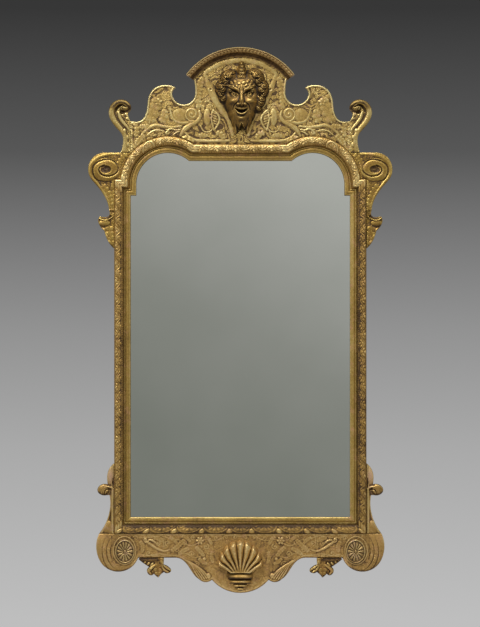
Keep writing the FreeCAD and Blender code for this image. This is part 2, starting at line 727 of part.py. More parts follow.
leaf = Outline(FRAME_HALF, ear_foot).line(neck, ear_foot)
leaf.curve(on_leaf(0.38, 0.14), on_leaf(0.66, 0.16), on_leaf(0.9, 0.14))
leaf.curve(on_leaf(1.0, 0.22), on_leaf(0.94, 0.36), on_leaf(0.62, 0.53))
leaf.curve(on_leaf(0.52, 0.68), on_leaf(0.32, 0.85), on_leaf(0.0, 1.0))
export_pair("ear_leaf", leaf.board(LEAF_BACK_DEPTH, LEAF_BACK_DEPTH + LEAF_THICKNESS))


# Base brackets, on the sides of the stiles above the apron


def on_bracket(across, up):
    return (FRAME_HALF + across, FRAME_BOTTOM + up)


knob_x = BRACKET_KNOB_AT[0]
knob_up = BRACKET_HEIGHT - BRACKET_KNOB_AT[1]
knob_top = on_bracket(BRACKET_BULGE - 2, knob_up + BRACKET_KNOB_RADIUS * 0.8)
knob_foot = on_bracket(BRACKET_NECK + 2, knob_up - BRACKET_KNOB_RADIUS * 0.95)
bracket = Outline(*on_bracket(0, BRACKET_HEIGHT))
bracket.curve(
    on_bracket(BRACKET_BULGE * 0.8, BRACKET_HEIGHT * 0.9),
    on_bracket(BRACKET_BULGE, BRACKET_HEIGHT * 0.78),
    knob_top,
)
bracket.arc(on_bracket(knob_x + BRACKET_KNOB_RADIUS, knob_up), knob_foot)
bracket.curve(
    on_bracket(BRACKET_NECK, knob_up * 0.68),
    on_bracket(BRACKET_NECK + BRACKET_FOOT * 0.22, knob_up * 0.3),
    on_bracket(BRACKET_FOOT, 0),
)
bracket.line(*on_bracket(0, 0))
export_pair("base_bracket", bracket.board(BRACKET_BACK_DEPTH, BRACKET_BACK_DEPTH + BRACKET_THICKNESS))


# Apron board, glued over the bottom rail


def on_apron(x, drop):
    return (x, FRAME_BOTTOM - drop)


lobe_out = FRAME_HALF + APRON_LOBE_OUT
lobe_in = FRAME_HALF + APRON_LOBE_OUT - APRON_LOBE_WIDTH - 9
lobe_mid = FRAME_HALF - APRON_LOBE_INSET
notch_z = DISC_Z - math.sqrt(DISC_RADIUS ** 2 - DISC_NOTCH ** 2)
cusp_drop = FRAME_BOTTOM - notch_z
half_notch = math.asin(DISC_NOTCH / DISC_RADIUS) / 2

apron = Outline(0, FRAME_BOTTOM).line(*on_apron(FRAME_HALF + BRACKET_FOOT, 0))
apron.arc(on_apron(lobe_out, APRON_LOBE_DROP * 0.34), on_apron(lobe_out - 8, APRON_LOBE_DROP * 0.69))
apron.arc(on_apron(lobe_mid, APRON_LOBE_DROP), on_apron(lobe_in, APRON_EDGE_DROP))
apron.line(*on_apron(APRON_ARCH_X, APRON_EDGE_DROP))
slope = APRON_CUSP_DROP - APRON_EDGE_DROP
apron.curve(
    on_apron(APRON_ARCH_X - 19, APRON_EDGE_DROP + slope * 0.11),
    on_apron(APRON_ARCH_X - 35, APRON_EDGE_DROP + slope * 0.42),
    on_apron(APRON_ARCH_X - 49, APRON_EDGE_DROP + slope * 0.75),
    on_apron(DISC_NOTCH + 32, APRON_CUSP_DROP - 7),
)
apron.arc(on_apron(DISC_NOTCH + 18, APRON_CUSP_DROP), on_apron(DISC_NOTCH, cusp_drop))
disc_side = (DISC_RADIUS * math.sin(half_notch), DISC_Z - DISC_RADIUS * math.cos(half_notch))
apron.arc(disc_side, (0, DISC_Z - DISC_RADIUS))
apron_board = whole(apron.board(CARCASS_FRONT, BOARD_FRONT))
export("apron_board", drilled(apron_board, ornament_holes(SHELL_SCREWS)))


# Oval bosses on the lobes


def dome(x, z, half_width, half_height, projection, depth):
    """Half an ellipsoid that stands on a face at a depth."""
    ball = Part.makeSphere(1, FreeCAD.Vector(0, 0, 0), FreeCAD.Vector(0, 0, 1), -90, 90, 180)
    ball.rotate(FreeCAD.Vector(0, 0, 0), FreeCAD.Vector(0, 0, 1), 180)
    stretch = FreeCAD.Matrix()
    stretch.scale(half_width, projection, half_height)
    ball = ball.transformGeometry(stretch)
    ball.translate(FreeCAD.Vector(x, -depth, z))
    return ball


boss_x = FRAME_HALF - BOSS_AT[0]
boss_z = FRAME_BOTTOM - BOSS_AT[1]
boss_front = BOARD_FRONT + BOSS_HEIGHT
boss = oval(boss_x, boss_z, BOSS_HALF_WIDTH, BOSS_HALF_HEIGHT, BOARD_FRONT, boss_front)
well_floor = BOARD_FRONT + BOSS_HEIGHT / 2
well = oval(boss_x, boss_z, BOSS_HALF_WIDTH - BOSS_RIM, BOSS_HALF_HEIGHT - BOSS_RIM, well_floor, BEYOND)
export_pair("boss", boss.cut(well))


# Leaf sprays hanging under the apron


spray_run = lobe_in - APRON_ARCH_X


def on_spray(across, down):
    x = APRON_ARCH_X + (SPRAY_PLACE + across) * spray_run
    return (x, APRON_EDGE_Z - down * SPRAY_DROP)


spray = Outline(*on_spray(-0.096, 0)).line(*on_spray(0.5, 0))
spray.curve(on_spray(0.555, 0.02), on_spray(0.585, 0.07))
spray.curve(on_spray(0.44, 0.27), on_spray(0.29, 0.44))
spray.curve(on_spray(0.36, 0.62), on_spray(0.29, 0.8), on_spray(0.17, 0.74))
spray.curve(on_spray(0.12, 0.84), on_spray(0.05, 0.92))
spray.curve(on_spray(-0.01, 0.78), on_spray(-0.1, 0.66))
spray.curve(on_spray(-0.19, 0.72), on_spray(-0.285, 0.62), on_spray(-0.22, 0.44), on_spray(-0.086, 0.34))
export_pair("apron_leaf", spray.board(SPRAY_BACK_DEPTH, SPRAY_BACK_DEPTH + SPRAY_THICKNESS))


# Shell on the apron: a scalloped fan domed over the board, with reeded rolls under it

hinge_z = FRAME_BOTTOM - SHELL_HINGE_DROP
spread = math.radians(SHELL_SPREAD)


def on_shell(turn, extra=0.0):
    """A point on the rim of the fan, turn running from -1 to 1 across it."""
    radius = SHELL_SIDE + (SHELL_HEIGHT - SHELL_SIDE) * math.cos(turn * math.pi / 2) + extra
    return (radius * math.sin(turn * spread), hinge_z + radius * math.cos(turn * spread))


step = 2 / SHELL_FLUTES
fan = Outline(-SHELL_ROLLS[0] * 0.6, hinge_z).line(*on_shell(-1))
for flute in range(SHELL_FLUTES):
    left = -1 + flute * step
    fan.arc(on_shell(left + step / 2, 4.5), on_shell(left + step))
fan.line(SHELL_ROLLS[0] * 0.6, hinge_z)
fan = fan.board(BOARD_FRONT, BEYOND)
ball_y = SHELL_BALL - BOARD_FRONT - SHELL_PROJECTION
ball = Part.makeSphere(SHELL_BALL, FreeCAD.Vector(0, ball_y, hinge_z + SHELL_BALL_UP))
shell = fan.common(ball)
rolls = []
for row, half_length in enumerate(SHELL_ROLLS):
    z = hinge_z - (2 * row - 0.2) * SHELL_ROLL_RADIUS * 0.92
    start = FreeCAD.Vector(-half_length, -BOARD_FRONT, z)
    bar = Part.makeCylinder(SHELL_ROLL_RADIUS, 2 * half_length, start, FreeCAD.Vector(1, 0, 0))
    rolls.append(bar.cut(box(-BEYOND, BEYOND, -BEYOND * 2, BEYOND, -BEYOND, BOARD_FRONT)))
shell = joined(shell, *rolls)
export("shell", drilled(shell, ornament_holes(SHELL_SCREWS)))


# Mask on the crest, built up of domes


def mask_form(form, side=1):
    x, height, half_width, half_height, projection = form
    return dome(side * x, height, half_width, half_height, projection, 0)


forms = [mask_form(MASK_BROW), mask_form(MASK_NOSE), mask_form(MASK_TUFT)]
for form in (MASK_CURL, MASK_EAR, MASK_CHEEK, MASK_BEARD):
    forms += [mask_form(form, side) for side in (-1, 1)]
mask = mask_form(MASK_HEAD).fuse(forms)
mask.translate(FreeCAD.Vector(MASK_ASIDE, -BOARD_FRONT, CROWN))
export("mask", drilled(mask, ornament_holes(MASK_SCREWS)))

screws = [wood_screw(at, CARCASS_FRONT, ORNAMENT_SCREW_LENGTH) for at in ORNAMENT_SCREWS]
export("ornament_screws", Part.makeCompound(screws))


# Hangers: a strap on the back of each stile and a ring that swings in its eye


def hanger_strap(side):
    x = side * HANGER_X
    foot = PIVOT_Z - STRAP_LENGTH
    back = CARCASS_BACK - STRAP_THICKNESS
    strap = box(x - STRAP_WIDTH / 2, x + STRAP_WIDTH / 2, foot, PIVOT_Z, back, CARCASS_BACK)
    start = FreeCAD.Vector(x - STRAP_WIDTH / 2, -PIVOT_DEPTH, PIVOT_Z)
    along = FreeCAD.Vector(1, 0, 0)
    bore = RING_RADIUS + PIVOT_CLEARANCE
    barrel = Part.makeCylinder(bore + STRAP_THICKNESS, STRAP_WIDTH, start, along)
    hole = Part.makeCylinder(bore, STRAP_WIDTH, start, along)
    return drilled(joined(strap, barrel).cut(hole), STRAP_HOLES)


def hanger_ring(side):
    pivot = FreeCAD.Vector(side * HANGER_X, -PIVOT_DEPTH, PIVOT_Z)
    half = RING_WIDTH / 2
    across = FreeCAD.Vector(1, 0, 0)
    down = FreeCAD.Vector(0, 0, -1)
    bend = pivot + down * RING_LEG
    parts = [Part.makeCylinder(RING_RADIUS, RING_WIDTH, pivot - across * half, across)]
    for end in (-half, half):
        top = pivot + across * end
        parts.append(Part.makeSphere(RING_RADIUS, top))
        parts.append(Part.makeCylinder(RING_RADIUS, RING_LEG, top, down))
    wire = Part.Face(Part.Wire([Part.makeCircle(RING_RADIUS, bend + across * half, down)]))
    parts.append(upright(wire.revolve(bend, FreeCAD.Vector(0, 1, 0), 180)))
    return joined(*parts)


for name, side in (("left", -1), ("right", 1)):
    export("hanger_strap_" + name, hanger_strap(side))
    export("hanger_ring_" + name, hanger_ring(side))
screws = [strap_screw(side, drop) for side in (-1, 1) for drop in STRAP_SCREW_DROPS]
export("hanger_screws", Part.makeCompound(screws))
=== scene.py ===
import bpy
import math
import numpy as np
from mathutils import Matrix, Vector, kdtree


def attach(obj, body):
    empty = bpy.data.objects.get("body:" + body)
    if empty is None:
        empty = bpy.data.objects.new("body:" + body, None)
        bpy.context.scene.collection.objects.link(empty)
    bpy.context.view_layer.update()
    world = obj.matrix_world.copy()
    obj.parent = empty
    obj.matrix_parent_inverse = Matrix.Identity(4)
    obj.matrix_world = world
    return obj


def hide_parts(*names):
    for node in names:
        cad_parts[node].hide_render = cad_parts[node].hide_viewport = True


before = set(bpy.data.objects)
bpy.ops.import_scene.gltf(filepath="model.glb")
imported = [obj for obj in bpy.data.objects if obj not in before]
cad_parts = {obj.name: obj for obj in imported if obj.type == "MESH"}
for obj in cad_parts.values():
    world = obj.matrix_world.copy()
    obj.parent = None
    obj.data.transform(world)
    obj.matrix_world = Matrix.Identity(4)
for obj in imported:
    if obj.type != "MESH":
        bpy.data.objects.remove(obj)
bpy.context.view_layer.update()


# Carcass: two stiles, the head rail, the bottom rail, battens and ear blocks.
# Plain softwood, sawn and planed, halved together at the corners and never gilded.
# It shows from the back only, brown with age and handling.


def linear(hex_colour):
    """An sRGB hex colour as the linear colour that a socket takes."""
    parts = [int(hex_colour[i : i + 2], 16) / 255 for i in (0, 2, 4)]
    return [c / 12.92 if c <= 0.04045 else ((c + 0.055) / 1.055) ** 2.4 for c in parts] + [1.0]


def feed(made, inputs):
    """Gives a node's inputs their plain values, or links from the sockets of other nodes."""
    for key, value in inputs.items():
        if isinstance(value, bpy.types.NodeSocket):
            made.id_data.links.new(value, made.inputs[key])
        else:
            made.inputs[key].default_value = value


def node(tree, kind, inputs=None, **settings):
    """Adds a node with its settings and inputs."""
    made = tree.nodes.new("ShaderNode" + kind)
    for key, value in settings.items():
        setattr(made, key, value)
    feed(made, inputs or {})
    return made


def noise(tree, place, scale, detail, roughness=0.5, distortion=0.0):
    """A soft noise, with its scale in grains to the metre."""
    grain = {"Scale": scale, "Detail": detail, "Roughness": roughness, "Distortion": distortion}
    return node(tree, "TexNoise", {"Vector": place, **grain}).outputs[0]


def spread(tree, value, low, high, at_low, at_high, **settings):
    """Carries the range from low to high over to another one, and holds it at both ends."""
    ends = {1: low, 2: high, 3: at_low, 4: at_high}
    return node(tree, "MapRange", {0: value, **ends}, **settings).outputs[0]


def calc(tree, operation, *terms):
    """Arithmetic on sockets and plain numbers."""
    return node(tree, "Math", dict(enumerate(terms)), operation=operation).outputs[0]


def ramp(tree, value, first, last, *between):
    """Colours laid along a value. Each stop is its position and its hex colour."""
    made = node(tree, "ValToRGB", {0: value})
    stops = made.color_ramp.elements
    for stop, (position, colour) in zip(stops, (first, last)):
        stop.position, stop.color = position, linear(colour)
    for position, colour in between:
        stops.new(position).color = linear(colour)
    return made.outputs[0]


def new_material(name):
    """A material with its node tree, its shader and the place on the piece in metres."""
    material = bpy.data.materials.new(name)
    material.use_nodes = True
    tree = material.node_tree
    tree.nodes.clear()
    shader = node(tree, "BsdfPrincipled")
    node(tree, "OutputMaterial", {"Surface": shader.outputs[0]})
    return material, tree, shader, node(tree, "TexCoord").outputs["Object"]


def old_pine(name, grain_axis, light="b08a5a", dark="6d4a28"):
    """Old bare pine: yellow-brown, with growth rings drawn out along the grain and a dry, dull face."""
    material, tree, shader, place = new_material(name)
    # rings lie about 4 mm apart and run on for 150 mm or so
    along, across = 7.0, 250.0
    stretch = [along if axis == grain_axis else across for axis in "XYZ"]
    grain = node(tree, "Mapping", {"Vector": place, "Scale": stretch}).outputs[0]
    rings = noise(tree, grain, 1.0, 5.0, 0.62)
    stain = noise(tree, place, 9.0, 4.0)
    tones = ramp(tree, calc(tree, "ADD", rings, stain), (0.72, dark), (1.0, light))
    bump = node(tree, "Bump", {"Height": rings, "Strength": 0.35, "Distance": 0.0006}).outputs[0]
    feed(shader, {"Base Color": tones, "Normal": bump, "Roughness": 0.74})
    return material


def finish_nodes(material, *names):
    """Gives CAD nodes that stay in view their finish."""
    for name in names:
        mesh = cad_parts[name].data
        mesh.materials.clear()
        mesh.materials.append(material)


def both(*names):
    """The names of the left and right pieces."""
    return [name + side for name in names for side in ("_left", "_right")]


pine_upright = old_pine("bare pine, upright grain", "Z")
pine_across = old_pine("bare pine, grain across", "X")
finish_nodes(pine_upright, *both("stile", "crest_batten", "ear_block"))
finish_nodes(pine_across, "head_rail", "bottom_rail")


# Plate: one thin sheet of glass with a tin and mercury backing, held by small glued blocks.
# The glass is clear and the eye only meets its backing, so the sheet reflects as a metal does.
# Old backing is greyish green and a little cloudy, with fine specks where it has gone.


def blend(tree, share, first, second):
    """Goes from one colour to another as the share goes from 0 to 1."""
    return node(tree, "Mix", {0: share, 6: first, 7: second}, data_type="RGBA").outputs[2]


plate_finish, tree, shader, place = new_material("mercury-silvered plate glass")
cloud = noise(tree, place, 5.0, 3.0)
specks = spread(tree, noise(tree, place, 420.0, 2.0), 0.70, 0.78, 0.0, 1.0)
silver = ramp(tree, cloud, (0.3, "d1d3cd"), (0.7, "d8d9d4"))
haze = spread(tree, cloud, 0.3, 0.7, 0.035, 0.075)
worn = blend(tree, specks, silver, linear("8d8f86"))
feed(shader, {"Base Color": worn, "Roughness": haze, "Metallic": 1.0})
finish_nodes(plate_finish, "mirror_plate")

backing, tree, shader, place = new_material("tin amalgam, back")
tin = ramp(tree, noise(tree, place, 30.0, 5.0, 0.7), (0.35, "5c5d5c"), (0.65, "a3a5a4"))
feed(shader, {"Base Color": tin, "Metallic": 0.8, "Roughness": 0.5})
finish_nodes(backing, "silvering")
finish_nodes(pine_across, "plate_blocks")


# Sight moulding: the plain inner row, in eight lengths mitred round the plate.
# Run in gesso over pine with a shaped scraper, then gilded: a bead at the glass, a flat round and a fillet.
# The gold is rubbed to red clay on the edges and toned brown in the quirks.

SIGHT_HALF = 274.5
SILL = -456.0
NOTCH_X, NOTCH_Z = 260.5, 349.0
ARCH_X, ARCH_Z, ARCH_RADIUS = 181.5, 377.0, 79.0
MIDDLE_Z = 436.0


def gilding(
    name, dark="4a3414", mid="a8864a", light="dcc487", toning=1.0, rub=0.5, rub_colour="a9775c", tendrils=0.0
):
    """Water gilding on gesso: satin gold, brown size and dust in every hollow, red clay where it is rubbed through.
    The attribute of recess and shading says where the mesh is hollow (above 0) and where it stands proud (below 0),
    and holds the painted shade and painted highlights laid on many pieces as well.
    The ground attribute marks the flat field, which is pricked and may be cut with fine tendrils.
    The bare attribute, where a piece has it, marks places that are rubbed right through."""
    material, tree, shader, place = new_material(name)
    recess_and_shading, ground, bare = (
        node(tree, "Attribute", attribute_name=word).outputs["Fac"] for word in ("recess_and_shading", "ground", "bare")
    )
    # cloudy toning in patches of 50 mm and mottling of 5 mm
    patches = spread(tree, noise(tree, place, 20.0, 3.0), 0.3, 0.7, -0.12, 0.12)
    mottle = noise(tree, place, 190.0, 5.0, 0.65)
    speckle = spread(tree, mottle, 0.3, 0.7, -0.16, 0.16)
    # darker where the piece is hollow or carries painted shade, lighter where it stands proud or carries painted
    # highlights
    tone = spread(tree, recess_and_shading, -1.0, 1.0, 0.5 + 0.40 * toning, 0.5 - 0.46 * toning)
    tone = calc(tree, "ADD", calc(tree, "ADD", tone, patches), speckle)
    # the flat field is pricked with a punch about every 3 mm
    pricks = node(tree, "TexVoronoi", {"Vector": place, "Scale": 330.0}).outputs["Distance"]
    height = calc(tree, "MULTIPLY", pricks, ground)
    if tendrils:
        # fine curling tendrils, cut along the contours of a soft noise, a line about every 7 mm
        swirl = calc(tree, "MULTIPLY", noise(tree, place, 34.0, 1.0, distortion=0.6), 34.0)
        curls = spread(tree, calc(tree, "SINE", swirl), -0.9, -0.1, -0.32 * tendrils, 0.06 * tendrils)
        curls = calc(tree, "MULTIPLY", curls, ground)
        tone = calc(tree, "ADD", tone, curls)
        height = calc(tree, "ADD", height, calc(tree, "MULTIPLY", curls, 2.4))
    gold = ramp(tree, tone, (0.08, dark), (0.94, light), (0.5, mid))
    # rubbing shows on what stands proud, in irregular spots of about 20 mm
    spots = spread(tree, noise(tree, place, 48.0, 5.0, 0.7), 0.52, 0.68, 0.0, rub)
    proud = spread(tree, recess_and_shading, 0.35, -0.45, 0.15, 1.0)
    rubbed = calc(tree, "MAXIMUM", calc(tree, "MULTIPLY", spots, proud), bare)
    leafed = spread(tree, rubbed, 0.0, 0.6, 1.0, 0.35)
    height = calc(tree, "ADD", height, calc(tree, "MULTIPLY", mottle, 0.35))
    feed(shader, {
        "Base Color": blend(tree, rubbed, gold, linear(rub_colour)),
        "Metallic": calc(tree, "MULTIPLY", spread(tree, tone, 0.15, 0.6, 0.35, 0.82), leafed),
        "Roughness": spread(tree, tone, 0.1, 0.9, 0.62, 0.36),
        "Normal": node(tree, "Bump", {"Height": height, "Strength": 0.5, "Distance": 0.0016}).outputs[0],
    })
    return material


def as_piece(name, mesh):
    """A new object in the scene for a finished mesh, alone in the selection."""
    piece = bpy.data.objects.new(name, mesh)
    bpy.context.scene.collection.objects.link(piece)
    bpy.ops.object.select_all(action="DESELECT")
    piece.select_set(True)
    bpy.context.view_layer.objects.active = piece
    return piece


def put_attribute(mesh, name, values):
    """Gives each point of a mesh its value of an attribute."""
    attribute = mesh.attributes.get(name) or mesh.attributes.new(name, "FLOAT", "POINT")
    attribute.data.foreach_set("value", np.asarray(values, np.float32).ravel())


def turn_outward():
    """Turns all faces of the piece in edit mode outward, and leaves edit mode."""
    bpy.ops.mesh.select_all(action="SELECT")
    bpy.ops.mesh.normals_make_consistent(inside=False)
    bpy.ops.object.mode_set(mode="OBJECT")


def moulded(name, rows, recess_and_shading, ground=0.0):
    """A length of moulding: stations along it, each a whole turn of its section, closed at both ends. In mm."""
    stations, turns = rows.shape[:2]
    i = np.arange(stations - 1)[:, None] * turns
    j = np.arange(turns)[None, :]
    k = (j + 1) % turns
    quads = np.stack([i + j, i + k, i + turns + k, i + turns + j], -1).reshape(-1, 4).tolist()
    ends = [list(range(turns)), list(range((stations - 1) * turns, stations * turns))]
    mesh = bpy.data.meshes.new(name)
    mesh.from_pydata((rows.reshape(-1, 3) / 1000).tolist(), [], quads + ends)
    put_attribute(mesh, "recess_and_shading", recess_and_shading)
    put_attribute(mesh, "ground", ground + np.zeros((stations, turns)))
    piece = as_piece(name, mesh)
    bpy.ops.object.mode_set(mode="EDIT")
    turn_outward()
    bpy.ops.object.shade_smooth_by_angle(angle=math.radians(38))
    return piece


def cusp_x(out):
    """Where an arch meets the straight middle of the head, at a distance out from the plate's edge."""
    return ARCH_X - np.sqrt((ARCH_RADIUS + out) ** 2 - (MIDDLE_Z + out - ARCH_Z) ** 2)


# each path gives x and z for distances out from the plate's edge and shares t of the way along


def stile_path(out, t):
    return SIGHT_HALF + out + 0 * t, SILL - out + (NOTCH_Z - SILL + 2 * out) * t


def bottom_path(out, t):
    return (SIGHT_HALF + out) * (2 * t - 1), SILL - out + 0 * t


def middle_path(out, t):
    return cusp_x(out) * (2 * t - 1), MIDDLE_Z + out + 0 * t


def return_path(out, t):
    return NOTCH_X + out + (SIGHT_HALF - NOTCH_X) * t, NOTCH_Z + out + 0 * t


def arch_path(out, t):
    """Up the short stub, then round the arch to the cusp. Far out, the mitre cuts the stub away."""
    radius = ARCH_RADIUS + out
    stub = np.maximum(ARCH_Z - NOTCH_Z - out, 0)
    reach = (ARCH_RADIUS + ARCH_Z - NOTCH_Z) / (math.sqrt(2) * radius)
    first = np.where(stub > 0, 0, math.pi / 4 - np.arcsin(np.minimum(reach, 1)))
    last = np.arctan2(MIDDLE_Z + out - ARCH_Z, cusp_x(out) - ARCH_X)
    gone = t * (stub + (last - first) * radius)
    turn = first + np.maximum(gone - stub, 0) / radius
    return ARCH_X + radius * np.cos(turn), ARCH_Z + radius * np.sin(turn) - np.maximum(stub - gone, 0)


# each length's path, about how far it runs in mm, and whether there is one on each side
LENGTHS = {
    "stile": (stile_path, 805.0, True),
    "return": (return_path, 14.0, True),
    "arch": (arch_path, 220.0, True),
    "middle": (middle_path, 250.0, False),
    "bottom": (bottom_path, 549.0, False),
}


def dress(piece, node_name, *materials):
    """Puts a finished piece in place of its CAD node."""
    for material in materials:
        piece.data.materials.append(material)
    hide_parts(node_name)
    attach(piece, "frame")


def dress_pair(piece, name, *materials):
    """Puts a finished right-hand piece and its mirror image in place of their two CAD nodes."""
    mesh = piece.data.copy()
    mesh.transform(Matrix.Scale(-1, 4, Vector((1, 0, 0))))
    mesh.flip_normals()
    other = as_piece("gilt_" + name + "_left", mesh)
    dress(piece, name + "_right", *materials)
    dress(other, name + "_left", *materials)


def fit_length(name, paired, gilt, right_painted_shading, rows, recess_and_shading, ground=0.0):
    """Makes one length of moulding, or two that mirror each other. The right-hand stile gets painted light and shade
    of its own.
    """
    piece = moulded("gilt_" + name + ("_right" if paired else ""), rows, recess_and_shading, ground)
    if not paired:
        dress(piece, name, gilt)
        return
    dress_pair(piece, name, gilt)
    # painted light and shade on the right-hand stile only
    if name.endswith("stile"):
        put_attribute(piece.data, "recess_and_shading", np.clip(recess_and_shading + right_painted_shading, -1, 1))


# section of the sight moulding: out from the plate's edge, forward from the wall, and how hollow it is there
SIGHT_SECTION = [
    (0.0, 24.0, 1.0), (0.0, 28.4, 0.6), (0.5, 30.3, 0.1), (1.4, 31.3, -0.9), (2.4, 31.7, -1.0), (3.4, 31.5, 0.3),
    (4.4, 31.8, 0.2), (6.4, 32.6, -0.05), (8.6, 32.7, -0.05), (10.6, 32.1, 0.1), (11.8, 31.2, 0.4), (12.5, 30.8, 0.8),
    (13.0, 32.2, 0.2), (13.6, 33.6, -0.7), (14.5, 33.9, -0.8), (15.4, 33.3, -0.2), (16.0, 31.8, 0.1),
    (16.8, 31.2, 0.3), (17.5, 31.2, 0.3), (17.5, 24.0, 1.0),
]
SIGHT_TONING, SIGHT_STEP = 0.75, 3
# painted highlight on the bead of the sill, where it catches the light, and painted light on the right-hand stile,
# brighter than the left one
SILL_BEAD, SILL_PAINTED_HIGHLIGHT, RIGHT_SIGHT_PAINTED_LIGHT = 3, 0.5, -0.34
sight_gilding = gilding("water-gilt gesso, sight moulding", mid="a0813f", light="d6bb74", rub=0.7)
outs, fronts, hollows = np.array(SIGHT_SECTION).T
for length, (path, run, paired) in LENGTHS.items():
    t = np.linspace(0, 1, max(3, int(run / SIGHT_STEP)))[:, None]
    x, z = path(outs, t)
    rows = np.stack([x, -fronts + 0 * x, z], -1)
    sill_highlight = np.where((length == "bottom") & (outs < SILL_BEAD), SILL_PAINTED_HIGHLIGHT, 0)
    recess_and_shading = hollows * SIGHT_TONING - sill_highlight + 0 * x
    fit_length("sight_" + length, paired, sight_gilding, RIGHT_SIGHT_PAINTED_LIGHT, rows, recess_and_shading)


# Carved moulding: the outer row, a full round that falls away to the glass, in eight mitred lengths.
# Gesso cut in low relief: a winding leafy stem, leaf tips at the mitres, half-round bowls along the bottom.
# Gilded, brighter on the outer swell, with painted shade where it falls to the inner row.

# section: out from the plate's edge and forward from the wall
CARVED_SECTION = [
    (41.0, 24.0), (41.0, 34.0), (40.6, 38.6), (39.4, 41.3), (37.4, 42.4), (34.5, 42.8), (31.5, 42.6), (28.5, 41.9),
    (25.5, 41.2), (22.8, 40.2), (20.8, 38.8), (19.4, 37.0), (18.4, 35.2), (17.7, 33.5), (17.7, 24.0),
]
CARVED_INNER, CARVED_CREST, CARVED_OUTER = 17.7, 34.0, 41.0
# the head is lighter and the lower lengths darker, and the right-hand stile gets painted shade, darker than the left
# one
TONING = {"bottom": 0.4, "stile": 0.28, "middle": -0.22, "arch": -0.16, "return": -0.1}
RIGHT_CARVED_PAINTED_SHADE = 0.3
SPRIG_GAP = 44.0
BOWL_GAP, MIDDLE_BOWL = 69.0, 56.0
CAP_REACH = 16


def bow(q):
    """A rounded back over the square of the way out from its middle to its edge."""
    return np.sqrt(np.clip(1 - q, 0, 1))


def climb(value, start, run):
    """Climbs from 0 to 1 over a run."""
    return np.clip((value - start) / run, 0, 1)


def oval(x, z, height):
    """A rounded button, with x and z as shares of its half width and half height."""
    return height * bow(x * x + z * z)


def sprigs(s, u):
    """A leafy stem that winds along the moulding: heights at a distance s along it and u across it, in mm."""
    wave = 2 * math.pi * s / SPRIG_GAP
    stem = 1.2 * bow(((u - 1 - 4.6 * np.sin(wave)) / 1.5) ** 2)
    beads = 0.9 * np.abs(np.cos(s * math.pi / 5.5)) ** 0.6 * bow(((u - 11.0) / 2.4) ** 2)
    forms = [stem, beads]
    for turn in (1, -1):
        a = (s / SPRIG_GAP + 0.25 * turn) % 1 * SPRIG_GAP - SPRIG_GAP / 2
        b = (u - 1) * turn
        for along, across, lean in ((-6.5, -2.5, 0.5), (0.0, -5.5, 0.0), (6.5, -2.5, -0.5), (0.0, 0.5, 0.0)):
            aside = b - across - lean * (a - along)
            leaf_form = oval((a - along) / 4.6, aside / 2.8, 1.5)
            forms.append(leaf_form - 0.6 * np.exp(-((aside / 0.6) ** 2)) * (leaf_form > 0.3))
    return np.maximum.reduce(forms)


def leaf_cap(b, u):
    """Three leaf tips that cover a mitre, at a distance b from it."""
    tips = ((11, -4, 3.4, 1.9), (14, 2, 3.2, 2.0), (11, 8, 3.4, 1.9))
    return np.maximum.reduce([oval((b - 7) / long, (u - at) / wide, high) for long, at, wide, high in tips])


def crown_shell(s, u):
    """A small scallop in a half-round band, carved at the crown of each arch."""
    q, angle = np.hypot(s / 19.0, (u - 10.0) / 18.0), np.arctan2(10.0 - u, s)
    band = 1.6 * bow(((q - 0.86) / 0.13) ** 2)
    ribs = 1.4 * np.abs(np.cos(angle * 4)) ** 0.7 * bow(((q - 0.35) / 0.36) ** 2)
    return np.maximum(band, ribs)


def lunettes(s, u):
    """Half-round bowls along the bottom length, open towards the glass, with a small leaf between them, in mm."""
    aside = np.abs(s) - MIDDLE_BOWL / 2
    half = np.where(aside < 0, MIDDLE_BOWL, BOWL_GAP) / 2
    a = np.where(aside < 0, s, aside % BOWL_GAP - BOWL_GAP / 2)
    x, z = a / half, (13.0 - u) / 20.5
    q, angle = np.hypot(x, z), np.arctan2(z, x)
    rim = 0.7 * bow(((q - 0.92) / 0.08) ** 2)
    fan = 0.9 * np.abs(np.cos(angle * 6.5)) ** 0.7 * bow(((q - 0.58) / 0.22) ** 2)
    bowl = 0.45 * bow(q * q)
    tip = oval((np.abs(a) - half) / (5.0 + 0.4 * (3.0 - u)), (u + 2.0) / 7.0, 1.5)
    return np.maximum.reduce([rim, fan, bowl, tip])


carved_gilding = gilding("water-gilt gesso, carved moulding", dark="432d0e", mid="ab8746", light="dfc585", rub=0.45)
section = np.array(CARVED_SECTION)
# finer steps along the section, each with its distance u from the crest and the way it faces
gaps = np.concatenate([[0], np.cumsum(np.hypot(*np.diff(section, axis=0).T))])
steps = np.arange(gaps[1], gaps[-2], 0.8)
outs, fronts = (np.concatenate([side[:1], np.interp(steps, gaps, side), side[-2:]]) for side in section.T)
lean = np.stack([np.gradient(fronts), -np.gradient(outs)])
lean /= np.hypot(*lean)
u = np.concatenate([[0], steps, gaps[-2:]]) - gaps[6]
carved = climb(u, -10.0, 3.0) * climb(-u, -14.5, 2.0)
# painted shade across the section: darker on the outer side and where it falls to the inner row, a little lighter on
# the crest
shade = np.interp(u, [-14, -9, -5, 0, 5, 9, 13, 18], [0.5, 0.1, -0.15, -0.2, -0.1, 0.05, 0.2, 0.3])
